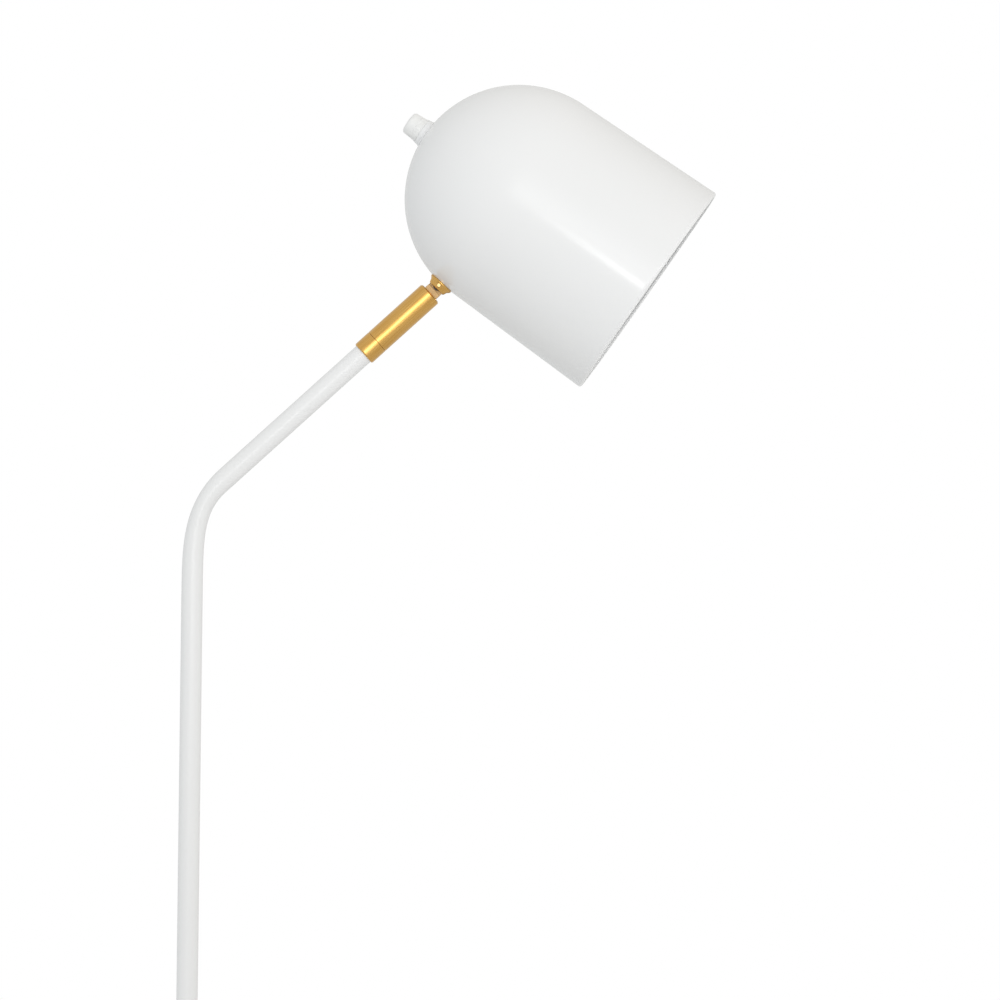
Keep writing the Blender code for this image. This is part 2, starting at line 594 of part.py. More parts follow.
def knuckle_collar():
    """Flared collar with a threaded spigot through the dome, slotted for the tongue."""
    spigot_end = COLLAR_ABOVE_PIVOT + SPIGOT_LENGTH
    slot_top = COLLAR_ABOVE_PIVOT + SLOT_ABOVE_DOME
    wide_top = dome_height(COLLAR_WIDE, GAP)
    profile = [(SPIGOT_RADIUS, spigot_end), (SPIGOT_RADIUS, dome_height(SPIGOT_RADIUS, GAP)),
               (COLLAR_WIDE, wide_top), (COLLAR_WIDE, wide_top - COLLAR_EDGE),
               (COLLAR_NARROW, -COLLAR_BELOW_PIVOT + COLLAR_EDGE / 2),
               (COLLAR_NARROW - COLLAR_EDGE / 2, -COLLAR_BELOW_PIVOT), (0.0, -COLLAR_BELOW_PIVOT)]
    collar = turned("knuckle_collar", [(0.0, spigot_end)] + profile, BRASS, HEAD_PIVOT, MEDIUM)
    reach = COLLAR_WIDE + 5 * MM
    slot = box("collar_slot", (-reach, -SLOT_HALF, -10 * MM), (reach, SLOT_HALF, slot_top), parent=HEAD_PIVOT)
    pocket = rod("collar_pocket", NECK_WIDTH / 2 + SLOT_CLEARANCE, -SLOT_HALF, SLOT_HALF, "Y", parent=HEAD_PIVOT,
                 facets=MEDIUM)
    way = rod("collar_wire_way", LEAD_RADIUS + 0.7 * MM, 0.0, spigot_end + MM, parent=HEAD_PIVOT)
    pin_hole = rod("collar_pin_hole", PIN_RADIUS + GAP, -reach, reach, "Y", parent=HEAD_PIVOT)
    cut(collar, slot, pocket, way, pin_hole)
    return spigot_end


def knuckle_pieces():
    knuckle_tongue()
    spigot_end = knuckle_collar()
    slope = (COLLAR_WIDE - COLLAR_NARROW) / (COLLAR_BELOW_PIVOT + COLLAR_ABOVE_PIVOT)
    pin_half = COLLAR_NARROW + slope * (COLLAR_BELOW_PIVOT - PIN_RADIUS) - GAP
    rod("knuckle_pin", PIN_RADIUS, -pin_half, pin_half, "Y", material=BRASS, parent=HEAD_PIVOT)
    washer_radius = PIVOT_ABOVE_SLEEVE - NECK_LENGTH - GAP
    for side, word in ((-1, "front"), (1, "back")):
        frame = make_empty(f"knuckle_{word}", (0.0, 0.0, 0.0), 0.0, HEAD_PIVOT)
        frame.rotation_euler = (side * -math.pi / 2, 0.0, 0.0)
        ring(f"knuckle_washer_{word}", washer_radius, PIN_RADIUS + GAP, SLOT_HALF - GAP,
             TONGUE_THICKNESS / 2 + GAP, NYLON, frame)
    washer = SPIGOT_RADIUS + COLLAR_WASHER_WIDTH
    washer_bottom = dome_height(washer, -SHADE_WALL) + GAP
    washer_top = washer_bottom + COLLAR_WASHER_HEIGHT
    ring("collar_washer", washer, SPIGOT_RADIUS + GAP, washer_top, washer_bottom, STEEL, HEAD_PIVOT, MEDIUM)
    hex_nut("collar_nut", 2 * (SPIGOT_RADIUS + COLLAR_NUT_WALL), SPIGOT_RADIUS + GAP, washer_top + GAP,
            COLLAR_NUT_HEIGHT, BRASS, HEAD_PIVOT)
    return spigot_end


# ---------------------------------------------------------------- shade
def shade():
    """Spun shell: hemisphere, slightly flared barrel and a turned-in edge, with the collar's and switch's holes."""
    mouth = -SHADE_LENGTH
    hole = BUSHING_RADIUS + GAP
    start = math.acos(hole / DOME_RADIUS)
    profile = arc_points((0.0, -DOME_RADIUS), DOME_RADIUS, start, 0.0, 11)
    profile += [(RIM_RADIUS, mouth + RIM_ROUND), (RIM_RADIUS - 0.45 * RIM_ROUND, mouth + 0.3 * RIM_ROUND),
                (RIM_RADIUS - RIM_ROUND, mouth)]
    piece = shell(turned("shade", profile, WHITE, APEX, FINE), SHADE_WALL)
    cut(piece, rod("collar_hole", SPIGOT_RADIUS + GAP, COLLAR_ABOVE_PIVOT - 6 * MM, COLLAR_ABOVE_PIVOT + 8 * MM,
                   parent=HEAD_PIVOT, facets=MEDIUM))


# ---------------------------------------------------------------- switch, knob, lampholder and bulb
def apex_sag(radius, offset=0.0):
    """How far the dome's surface, offset outwards, lies below the apex at a distance from the axis."""
    return math.sqrt((DOME_RADIUS + offset) ** 2 - radius ** 2) - DOME_RADIUS


def switch_pieces():
    hole = BUSHING_RADIUS + GAP
    cup_top = -SPACER_HEIGHT
    cup_floor = cup_top - CUP_WALL
    shoulder = cup_floor - GAP
    switch_end = shoulder - SWITCH_LENGTH
    bore = SPINDLE_RADIUS + GAP
    neck_top = RING_NUT_HEIGHT - 0.2 * MM

    rise = 0.5 * MM
    profile = [(hole, RING_NUT_HEIGHT), (RING_NUT_RADIUS - rise, RING_NUT_HEIGHT),
               (RING_NUT_RADIUS, RING_NUT_HEIGHT - rise), (RING_NUT_RADIUS, apex_sag(RING_NUT_RADIUS, GAP)),
               (hole, apex_sag(hole, GAP))]
    turned("switch_ring_nut", profile, WHITE, APEX, MEDIUM, closed=True)

    spacer = BUSHING_RADIUS + 4 * MM
    profile = [(hole, apex_sag(hole, -SHADE_WALL - GAP)), (spacer, apex_sag(spacer, -SHADE_WALL - GAP)),
               (spacer, cup_top + GAP), (hole, cup_top + GAP)]
    turned("apex_spacer", profile, NYLON, APEX, MEDIUM, closed=True)

    profile = [(0.0, shoulder - SPINDLE_POCKET), (bore, shoulder - SPINDLE_POCKET), (bore, neck_top),
               (BUSHING_RADIUS, neck_top), (BUSHING_RADIUS, shoulder), (SWITCH_RADIUS, shoulder),
               (SWITCH_RADIUS, switch_end), (0.0, switch_end)]
    turned("switch_housing", profile, PHENOLIC, APEX, MEDIUM)

    inner = CUP_RADIUS - CUP_WALL
    cup_end = cup_top - CUP_LENGTH
    profile = [(hole, cup_top), (CUP_RADIUS - MM, cup_top), (CUP_RADIUS, cup_top - MM), (CUP_RADIUS, cup_end),
               (inner, cup_end), (inner, cup_floor), (hole, cup_floor)]
    cup = turned("holder_cup", profile, WHITE, APEX, MEDIUM, closed=True)
    lead_height = cup_floor - CUP_LEAD_DROP
    cut(cup, rod("cup_lead_hole", LEAD_RADIUS + MM, -CUP_RADIUS - 2 * MM, -inner + 4 * MM, "X",
                 (0.0, 0.0, lead_height), parent=APEX))

    spindle_top = RING_NUT_HEIGHT + KNOB_LENGTH - KNOB_ROOF - GAP
    spindle_end = shoulder - SPINDLE_POCKET + MM
    turned("switch_spindle", [(0.0, spindle_top), (SPINDLE_RADIUS, spindle_top), (SPINDLE_RADIUS, spindle_end),
                              (0.0, spindle_end)], STEEL, APEX)
    return cup_end, lead_height


def switch_knob():
    bottom = RING_NUT_HEIGHT + GAP
    top = RING_NUT_HEIGHT + KNOB_LENGTH
    bore = SPINDLE_RADIUS + GAP
    profile = [(0.0, top)]
    profile += arc_points((KNOB_TOP_RADIUS - KNOB_ROUND, top - KNOB_ROUND), KNOB_ROUND, math.pi / 2, 0.05, 4)
    profile += [(KNOB_BASE_RADIUS - GAP, bottom + KNOB_SKIRT + GAP), (KNOB_BASE_RADIUS, bottom + KNOB_SKIRT),
                (KNOB_BASE_RADIUS, bottom), (bore, bottom), (bore, top - KNOB_ROOF), (0.0, top - KNOB_ROOF)]
    turned("switch_knob", profile, PLASTIC, APEX, MEDIUM)


def lampholder_pieces(cup_end):
    inner = CUP_RADIUS - CUP_WALL
    body = inner - GAP
    back = -HOLDER_START
    front = back - HOLDER_LENGTH
    well = back - HOLDER_FLOOR
    shell_inner = CAP_RADIUS + GAP
    shell_outer = shell_inner + SHELL_WALL
    bore = shell_outer + GAP
    profile = [(0.0, back), (body - MM, back), (body, back - MM), (body, front), (bore, front), (bore, well),
               (0.0, well)]
    turned("lampholder_body", profile, PHENOLIC, APEX, MEDIUM)
    ring("lampholder_ring", body + HOLDER_RING_WIDTH, body + GAP, cup_end - GAP, front, PHENOLIC, APEX, MEDIUM)
    ring("lampholder_shell", shell_outer, shell_inner, well - 2 * MM, front + 2 * MM, BRASS, APEX, MEDIUM)
    rod("lampholder_contact", CONTACT_RADIUS, well - GAP - CONTACT_HEIGHT, well - GAP, material=BRASS, parent=APEX)

    cap_tip = well - CAP_STEP
    cap_front = front - 2 * GAP
    turned("bulb_cap", [(0.0, cap_tip), (4 * MM, cap_tip), (5 * MM, cap_tip - MM), (CAP_RADIUS, cap_tip - CAP_TAPER),
                        (CAP_RADIUS, cap_front), (0.0, cap_front)], ALUMINIUM, APEX, MEDIUM)
    neck_top = cap_front - GAP
    neck_end = neck_top - BULB_NECK_LENGTH
    turned("bulb_neck", [(0.0, neck_top), (CAP_RADIUS + 0.4 * MM, neck_top),
                         (CAP_RADIUS + MM, neck_top - 2 * MM), (0.82 * GLOBE_BASE, neck_end + BULB_NECK_LENGTH / 3),
                         (GLOBE_BASE, neck_end), (0.0, neck_end)], PLASTIC, APEX, MEDIUM)
    start = math.acos(GLOBE_BASE / GLOBE_RADIUS)
    centre = neck_end - GAP - GLOBE_RADIUS * math.sin(start)
    dome = arc_points((0.0, centre), GLOBE_RADIUS, start, -math.pi / 2, 8)
    dome[-1] = (0.0, dome[-1][1])
    shell(turned("bulb_globe", dome, OPAL, APEX, MEDIUM), GLOBE_WALL)


# ---------------------------------------------------------------- leads
def lead_pieces(spindle_top, spigot_end, lead_height):
    bend = LEAD_RADIUS * 2
    low = PAD_THICKNESS + LEAD_RADIUS + 1.2 * MM
    stem_end = bend_route(low, spindle_top + 2 * MM, BEND_STEPS)[1:]
    route = [(-BLOCK_NEAR + GAP, 0.0, low)]
    for x, z in arc_points((-bend, low + bend), bend, -math.pi / 2, 0.0, 4):
        route.append((x, 0.0, z))
    tube_curve("stem_leads", route + stem_end, LEAD_RADIUS, 2, LEAD)

    plug_bottom = ARM_LENGTH - PLUG_LENGTH
    tube_curve("sleeve_leads", [(0.0, 0.0, spindle_top + 2 * MM + GAP), (0.0, 0.0, plug_bottom - GAP)],
               LEAD_RADIUS, 2, LEAD, ARM_FRAME)

    collar_to_apex = APEX_FROM_PIVOT.inverted()
    start = collar_to_apex @ Vector((0.0, 0.0, NECK_WIDTH / 2 + GAP + 0.7 * MM))
    outlet = collar_to_apex @ Vector((0.0, 0.0, spigot_end + 3 * MM))
    sweep = collar_to_apex @ Vector((0.0, 0.0, spigot_end + 13 * MM))
    entry = Vector((-CUP_RADIUS - 8 * MM, 0.0, lead_height))
    middle = (sweep + entry) / 2 + Vector((-3 * MM, 0.0, -2 * MM))
    inside = Vector((-CUP_RADIUS - 1.5 * MM, 0.0, lead_height))
    end = Vector((-(SWITCH_RADIUS + CUP_RADIUS) / 2 + 0.5 * MM, 0.0, lead_height))
    tube_curve("head_leads", smooth_route([start, outlet, sweep, middle, entry, inside, end], 4), LEAD_RADIUS, 2,
               LEAD, APEX)


base_pieces()
base_fixings()
stem_pieces()
SPINDLE_TOP = sleeve_pieces()
SPIGOT_END = knuckle_pieces()
shade()
CUP_END, LEAD_HEIGHT = switch_pieces()
switch_knob()
lampholder_pieces(CUP_END)
bpy.context.view_layer.update()
APEX_FROM_PIVOT = HEAD_PIVOT.matrix_world.inverted() @ APEX.matrix_world
lead_pieces(SPINDLE_TOP, SPIGOT_END, LEAD_HEIGHT)
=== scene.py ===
"""Looks of the adjustable arm floor lamp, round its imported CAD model.  Metres, +Z up, arm towards +X."""

import json
import math

import bmesh
import bpy
from mathutils import Matrix, Vector

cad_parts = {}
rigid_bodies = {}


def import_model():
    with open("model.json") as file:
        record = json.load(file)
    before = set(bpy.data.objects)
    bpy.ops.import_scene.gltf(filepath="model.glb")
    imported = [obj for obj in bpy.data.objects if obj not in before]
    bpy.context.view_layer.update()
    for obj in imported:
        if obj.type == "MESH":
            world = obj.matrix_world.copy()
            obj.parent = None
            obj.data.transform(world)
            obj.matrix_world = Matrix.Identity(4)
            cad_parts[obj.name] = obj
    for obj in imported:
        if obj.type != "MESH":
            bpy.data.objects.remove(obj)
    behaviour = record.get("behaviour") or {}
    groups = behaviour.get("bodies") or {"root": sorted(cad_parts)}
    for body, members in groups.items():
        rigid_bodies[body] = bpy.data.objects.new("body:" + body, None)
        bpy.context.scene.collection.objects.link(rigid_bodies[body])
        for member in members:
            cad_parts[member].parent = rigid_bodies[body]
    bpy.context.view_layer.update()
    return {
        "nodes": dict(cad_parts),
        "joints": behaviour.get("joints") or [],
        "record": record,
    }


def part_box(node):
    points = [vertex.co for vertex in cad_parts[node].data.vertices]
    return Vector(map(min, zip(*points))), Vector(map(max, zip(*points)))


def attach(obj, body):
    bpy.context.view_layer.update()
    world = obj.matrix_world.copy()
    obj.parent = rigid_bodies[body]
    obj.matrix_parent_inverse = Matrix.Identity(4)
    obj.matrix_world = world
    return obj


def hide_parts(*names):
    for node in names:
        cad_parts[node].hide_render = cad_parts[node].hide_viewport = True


for leftover in list(bpy.data.objects):
    bpy.data.objects.remove(leftover, do_unlink=True)
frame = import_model()

MM = 0.001
GAP = 0.3 * MM                     # the CAD model's clearance between touching pieces
JOINTS = {joint["name"]: joint for joint in frame["joints"]}
ARM_AXIS = Vector(JOINTS["sleeve_swivel"]["axis"]).normalized()
ARM_START = Vector(JOINTS["sleeve_swivel"]["pos_m"])
PIVOT = Vector(JOINTS["head_tilt"]["pos_m"])
APEX = Vector(JOINTS["knob_turn"]["pos_m"])
SHADE_AXIS = Vector(JOINTS["knob_turn"]["axis"]).normalized()     # out of the apex


# ---------------------------------------------------------------- places and measures taken from the frame
def axis_frame(origin, axis):
    """Matrix whose Z is the axis.  Its Y is the world's Y; along the world's Y, its X is the world's X."""
    z = axis.normalized()
    x = Vector((0.0, 1.0, 0.0)).cross(z) if abs(z.y) < 0.5 else Vector((1.0, 0.0, 0.0))
    x.normalize()
    y = z.cross(x)
    matrix = Matrix((x, y, z)).transposed().to_4x4()
    matrix.translation = origin
    return matrix


UP = Matrix.Identity(4)
ARM = axis_frame(ARM_START, ARM_AXIS)
HEAD = axis_frame(APEX, SHADE_AXIS)      # its X is towards the shade's upper side
PIVOT_HEIGHT = (PIVOT - ARM_START).dot(ARM_AXIS)


def local_points(node, place):
    """A CAD node's points in a frame of its own."""
    inverse = place.inverted()
    return [inverse @ vertex.co for vertex in frame["nodes"][node].data.vertices]


def span(node, place):
    """Lowest and highest point of a node along a frame's Z, and its largest distance from that axis."""
    points = local_points(node, place)
    heights = [point.z for point in points]
    reach = max(math.hypot(point.x, point.y) for point in points)
    return min(heights), max(heights), reach


def bore(node, place):
    """A node's smallest distance from a frame's Z axis."""
    return min(math.hypot(point.x, point.y) for point in local_points(node, place))


def reach_between(node, place, low, high):
    """A node's largest distance from a frame's Z axis among the points between two heights."""
    return max(math.hypot(point.x, point.y) for point in local_points(node, place) if low <= point.z <= high)


def dome_radius():
    """Radius of the dome, from the shade's points, which lie on spheres through or just inside the apex."""
    radii = []
    for point in local_points("shade", HEAD):
        away = math.hypot(point.x, point.y)
        if 30 * MM < away < 55 * MM and point.z > -30 * MM:
            radii.append((away ** 2 + point.z ** 2) / (-2 * point.z))
    return max(radii)


DOME = dome_radius()
DOME_CENTRE = APEX - SHADE_AXIS * DOME
COLLAR = axis_frame(PIVOT, DOME_CENTRE - PIVOT)
DOME_FROM_PIVOT = (DOME_CENTRE - PIVOT).length


def dome_under(radius, offset=0.0):
    """Height in the collar's frame of the dome's surface, offset outwards, at a distance from its axis."""
    return DOME_FROM_PIVOT - math.sqrt((DOME + offset) ** 2 - radius ** 2)


def dome_sag(radius, offset=0.0):
    """Height in the head's frame of the dome's surface, offset outwards."""
    return math.sqrt((DOME + offset) ** 2 - radius ** 2) - DOME


def spigot_radius():
    """Radius of the collar's thread, at its end inside the dome."""
    top = span("knuckle_collar", COLLAR)[1]
    return reach_between("knuckle_collar", COLLAR, top - 1 * MM, top)


def narrow_end(low):
    """Radius of the collar at its lower end."""
    return reach_between("knuckle_collar", COLLAR, low, low + 0.5 * MM)


def tongue_half_width():
    """Half the width of the knuckle's tongue, across its rounded end."""
    return max(abs(point.x) for point in local_points("knuckle_tongue", ARM) if point.z > PIVOT_HEIGHT - MM)


# ---------------------------------------------------------------- materials
def new_material(name):
    material = bpy.data.materials.new(name)
    material.use_nodes = True
    tree = material.node_tree
    return material, tree, tree.nodes["Principled BSDF"]


def add_node(tree, kind, **settings):
    node = tree.nodes.new(kind)
    for key, value in settings.items():
        setattr(node, key, value)
    return node


def noise(tree, scale, detail=3.0, stretch=None):
    """Noise in the object's own metres; stretch multiplies the scale along X, Y and Z."""
    coordinates = add_node(tree, "ShaderNodeTexCoord")
    texture = add_node(tree, "ShaderNodeTexNoise")
    texture.inputs["Scale"].default_value = scale
    texture.inputs["Detail"].default_value = detail
    source = coordinates.outputs["Object"]
    if stretch:
        mapping = add_node(tree, "ShaderNodeMapping")
        mapping.inputs["Scale"].default_value = stretch
        tree.links.new(source, mapping.inputs["Vector"])
        source = mapping.outputs["Vector"]
    tree.links.new(source, texture.inputs["Vector"])
    return texture.outputs["Fac"]


def blend_colour(tree, factor, first, second, low=0.35, high=0.65):
    """Colour that goes from the first to the second as the factor goes from low to high."""
    ramp = add_node(tree, "ShaderNodeValToRGB")
    ramp.color_ramp.elements[0].position = low
    ramp.color_ramp.elements[0].color = (*first, 1.0)
    ramp.color_ramp.elements[1].position = high
    ramp.color_ramp.elements[1].color = (*second, 1.0)
    tree.links.new(factor, ramp.inputs["Fac"])
    return ramp.outputs["Color"]


def scale_to(tree, factor, low, high):
    """Noise spread over a range of values."""
    spread = add_node(tree, "ShaderNodeMapRange")
    spread.inputs["From Min"].default_value = 0.3
    spread.inputs["From Max"].default_value = 0.7
    spread.inputs["To Min"].default_value = low
    spread.inputs["To Max"].default_value = high
    tree.links.new(factor, spread.inputs["Value"])
    return spread.outputs["Result"]


def bump(tree, height, depth, after=None):
    """Relief of a depth in metres, on top of another relief's normal if given."""
    node = add_node(tree, "ShaderNodeBump")
    node.inputs["Distance"].default_value = depth
    tree.links.new(height, node.inputs["Height"])
    if after:
        tree.links.new(after, node.inputs["Normal"])
    return node.outputs["Normal"]


def plain_surface(name, first, second, roughness, metallic=0.0, colour_scale=30.0, grain=600.0,
                  depth=0.02 * MM):
    """A surface with slow colour variation, uneven gloss and a fine grain in relief."""
    material, tree, shader = new_material(name)
    shader.inputs["Metallic"].default_value = metallic
    links = tree.links
    links.new(blend_colour(tree, noise(tree, colour_scale), first, second), shader.inputs["Base Color"])
    links.new(scale_to(tree, noise(tree, colour_scale * 3), *roughness), shader.inputs["Roughness"])
    links.new(bump(tree, noise(tree, grain), depth), shader.inputs["Normal"])
    return material


def enamel():
    """Satin white powder coat: faint orange peel, a hair of tone variation."""
    material, tree, shader = new_material("white_enamel_coat")
    links = tree.links
    shader.inputs["Specular IOR Level"].default_value = 0.25
    tone = blend_colour(tree, noise(tree, 9.0, 2.0), (0.865, 0.871, 0.880), (0.877, 0.882, 0.892), 0.2, 0.8)
    links.new(tone, shader.inputs["Base Color"])
    links.new(scale_to(tree, noise(tree, 25.0, 2.0), 0.115, 0.13), shader.inputs["Roughness"])
    links.new(bump(tree, noise(tree, 420.0, 1.0), 0.0015 * MM), shader.inputs["Normal"])
    return material


def turned_brass(name, grain, first=(0.700, 0.385, 0.088), second=(0.800, 0.480, 0.140)):
    """Satin brass brushed along the piece's own Z, so that highlights spread round it."""
    material, tree, shader = new_material(name)
    links = tree.links
    shader.inputs["Metallic"].default_value = 1.0
    shader.inputs["Anisotropic"].default_value = 0.6
    shader.inputs["Coat Weight"].default_value = 0.4
    shader.inputs["Coat Roughness"].default_value = 0.20
    tangent = add_node(tree, "ShaderNodeTangent", direction_type="RADIAL", axis="Z")
    links.new(tangent.outputs["Tangent"], shader.inputs["Tangent"])
    lines = noise(tree, 1.0, 4.0, grain)
    rings = noise(tree, 1.0, 2.0, (60.0, 60.0, 2200.0))
    links.new(blend_colour(tree, lines, first, second), shader.inputs["Base Color"])
    links.new(scale_to(tree, lines, 0.21, 0.29), shader.inputs["Roughness"])
    brushed = bump(tree, lines, 0.006 * MM)
    links.new(bump(tree, rings, 0.003 * MM, after=brushed), shader.inputs["Normal"])
    return material


def milled_brass(name, first, second):
    """Bare milled face of the knuckle: duller, with fine cross marks."""
    material, tree, shader = new_material(name)
    links = tree.links
    shader.inputs["Metallic"].default_value = 1.0
    marks = noise(tree, 1.0, 4.0, (2600.0, 260.0, 900.0))
    links.new(blend_colour(tree, marks, first, second), shader.inputs["Base Color"])
    links.new(scale_to(tree, marks, 0.50, 0.62), shader.inputs["Roughness"])
    links.new(bump(tree, marks, 0.020 * MM), shader.inputs["Normal"])
    return material


def felt():
    """Black felt: matt, with a fine nap."""
    material, tree, shader = new_material("black_felt_nap")
    links = tree.links
    links.new(blend_colour(tree, noise(tree, 900.0, 5.0), (0.018, 0.018, 0.019), (0.060, 0.058, 0.058)),
              shader.inputs["Base Color"])
    shader.inputs["Roughness"].default_value = 0.95
    shader.inputs["Sheen Weight"].default_value = 0.3
    links.new(bump(tree, noise(tree, 1500.0, 6.0), 0.25 * MM), shader.inputs["Normal"])
    return material


def opal():
    """Frosted diffuser: milky, lets a little light through."""
    material, tree, shader = new_material("opal_frosted")
    links = tree.links
    links.new(blend_colour(tree, noise(tree, 40.0), (0.90, 0.895, 0.87), (0.93, 0.925, 0.905)),
              shader.inputs["Base Color"])
    links.new(scale_to(tree, noise(tree, 200.0), 0.40, 0.48), shader.inputs["Roughness"])
    shader.inputs["Subsurface Weight"].default_value = 0.3
    shader.inputs["Subsurface Scale"].default_value = 0.004
    links.new(bump(tree, noise(tree, 3000.0), 0.004 * MM), shader.inputs["Normal"])
    return material


WHITE = enamel()
BRASS = turned_brass("brushed_brass", (1500.0, 1500.0, 60.0))
BRASS_FLAT = milled_brass("brass_milled", (0.53, 0.35, 0.17), (0.66, 0.46, 0.24))
# Much darker brass: painted shade for the gap between the tongue's neck and the collar.
BRASS_PAINTED_SHADE = milled_brass("brass_painted_shade", (0.13, 0.075, 0.030), (0.20, 0.120, 0.050))
BRASS_RAW = plain_surface("brass_raw", (0.70, 0.49, 0.21), (0.78, 0.57, 0.27), (0.28, 0.42), 1.0)
IRON = plain_surface("iron_cast", (0.055, 0.055, 0.057), (0.11, 0.105, 0.10), (0.65, 0.85), 0.6,
                     60.0, 900.0, 0.12 * MM)
STEEL = plain_surface("zinc_plate", (0.55, 0.56, 0.58), (0.66, 0.67, 0.68), (0.28, 0.42), 1.0,
                      120.0, 1500.0, 0.006 * MM)
ALUMINIUM = plain_surface("cap_rolled", (0.66, 0.67, 0.68), (0.76, 0.77, 0.78), (0.25, 0.38), 1.0, 90.0)
NYLON = plain_surface("nylon_natural", (0.72, 0.70, 0.62), (0.80, 0.78, 0.71), (0.45, 0.58))
BLACK = plain_surface("phenolic_moulded", (0.022, 0.022, 0.023), (0.040, 0.039, 0.038), (0.32, 0.45), 0.0,
                      50.0, 800.0)
RUBBER = plain_surface("rubber_moulded", (0.030, 0.030, 0.031), (0.055, 0.054, 0.053), (0.68, 0.82), 0.0,
                       90.0, 1200.0, 0.03 * MM)
PLASTIC = plain_surface("plastic_moulded", (0.855, 0.860, 0.860), (0.880, 0.884, 0.880), (0.34, 0.42), 0.0,
                        60.0, 1400.0, 0.006 * MM)
LEAD = plain_surface("wire_sleeving", (0.66, 0.66, 0.64), (0.74, 0.74, 0.71), (0.42, 0.55), 0.0,
                     80.0, 1500.0, 0.01 * MM)
FELT = felt()
OPAL = opal()

NODE_MATERIALS = {
    "white_enamel": WHITE, "brass": BRASS_RAW, "cast_iron": IRON, "zinc_steel": STEEL,
    "bulb_aluminium": ALUMINIUM, "felt": FELT, "rubber": RUBBER, "nylon": NYLON, "black_plastic": BLACK,
    "white_plastic": PLASTIC,
    "lead_insulation": LEAD, "opal_plastic": OPAL,
}
# Knuckle washers darkened to near black: partly grease, partly painted shade in the gap under the collar.
GREASED_NYLON_AND_SHADE = plain_surface("nylon_greased_and_painted_shade", (0.045, 0.034, 0.022), (0.075, 0.056, 0.036), (0.40, 0.55))
for subpart in frame["record"]["subparts"]:
    part = frame["nodes"][subpart["node"]]
    part.data.materials.clear()
    greased_and_shaded = "knuckle_washer" in subpart["node"]
    part.data.materials.append(GREASED_NYLON_AND_SHADE if greased_and_shaded else NODE_MATERIALS[subpart["material_slot"]])


# ---------------------------------------------------------------- mesh helpers
def fillet(points, closed, steps=5):
    """Profile points (radius, height) or (radius, height, rounding), each rounding replaced by an arc."""
    smooth = []
    count = len(points)
    for index, point in enumerate(points):
        here = Vector(point[:2])
        rounding = point[2] if len(point) > 2 else 0.0
        if rounding <= 0.0 or (not closed and index in (0, count - 1)):
            smooth.append(here)
            continue
        before = Vector(points[index - 1][:2]) - here
        after = Vector(points[(index + 1) % count][:2]) - here
        half = before.angle(after) / 2
        reach = min(rounding / math.tan(half), 0.48 * before.length, 0.48 * after.length)
        radius = reach * math.tan(half)
        first = here + before.normalized() * reach
        last = here + after.normalized() * reach
        centre = here + (before.normalized() + after.normalized()).normalized() * (radius / math.sin(half))
        start, end = first - centre, last - centre
        turn = start.angle_signed(end)
        for step in range(steps + 1):
            smooth.append(centre + Matrix.Rotation(-turn * step / steps, 2) @ start)
    return smooth


def declare(piece, body, node):
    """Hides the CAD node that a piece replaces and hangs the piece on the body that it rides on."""
    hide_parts(node)
    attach(piece, body)


def finish_piece(piece, body, material, node, sharp=40.0):
    mesh = piece.data
    mesh.materials.clear()
    mesh.materials.append(material)
    mesh.shade_smooth()
    mesh.set_sharp_from_angle(angle=math.radians(sharp))
    weighted = piece.modifiers.new("even_normals", "WEIGHTED_NORMAL")
    weighted.keep_sharp = True
    declare(piece, body, node)


def place_mesh(name, shape, place):
    """Makes an object from a bmesh, with a frame as its place."""
    mesh = bpy.data.meshes.new(name)
    bmesh.ops.recalc_face_normals(shape, faces=shape.faces)
    shape.to_mesh(mesh)
    shape.free()
    piece = bpy.data.objects.new(name, mesh)
    bpy.context.scene.collection.objects.link(piece)
    piece.matrix_world = place
    bpy.context.view_layer.update()
    return piece


def lathe_shape(profile, facets, closed):
    """Revolves (radius, height) points round Z.  A point on the axis becomes one vertex."""
    shape = bmesh.new()
    rings = []
    for radius, height in profile:
        if radius < 1e-7:
            rings.append([shape.verts.new((0.0, 0.0, height))])
            continue
        ring = []
        for index in range(facets):
            angle = 2 * math.pi * index / facets
            ring.append(shape.verts.new((radius * math.cos(angle), radius * math.sin(angle), height)))
        rings.append(ring)
    pairs = list(zip(rings, rings[1:]))
    if closed:
        pairs.append((rings[-1], rings[0]))
    for upper, lower in pairs:
        for index in range(facets):
            following = (index + 1) % facets
            if len(upper) == 1 and len(lower) == 1:
                continue
            if len(upper) == 1:
                corners = (upper[0], lower[index], lower[following])
            elif len(lower) == 1:
                corners = (upper[index], lower[0], upper[following])
            else:
                corners = (upper[index], lower[index], lower[following], upper[following])
            shape.faces.new(corners)
    return shape


def lathe(name, place, profile, material, body, node, facets=64, closed=True, steps=5):
    """A finished turned piece from its profile."""
    shape = lathe_shape(fillet(profile, closed, steps), facets, closed)
    finish_piece(place_mesh(name, shape, place), body, material, node)


def arc(centre, radius, start, end, count):
    """Points (radius, height) along an arc between two angles."""
    spots = []
    for index in range(count + 1):
        angle = start + (end - start) * index / count
        spots.append((centre[0] + radius * math.cos(angle), centre[1] + radius * math.sin(angle)))
    return spots


def rod(name, place, radius, low, high, facets=64):
    """A plain cylinder, for joining and cutting."""
    shape = lathe_shape([(0.0, high), (radius, high), (radius, low), (0.0, low)], facets, False)
    return place_mesh(name, shape, place)


def block(name, place, low, high, rounding=0.0):
    """A rectangular block, its edges rounded if asked."""
    shape = bmesh.new()
    bmesh.ops.create_cube(shape, size=1.0)
    size = Vector(high) - Vector(low)
    middle = (Vector(high) + Vector(low)) / 2
    stretch = Matrix.Translation(middle) @ Matrix.Diagonal((*size, 1.0))
    bmesh.ops.transform(shape, matrix=stretch, verts=shape.verts)
    if rounding:
        edges = list(shape.edges)
        bmesh.ops.bevel(shape, geom=edges, offset=rounding, segments=3, profile=0.5, affect="EDGES")
    return place_mesh(name, shape, place)


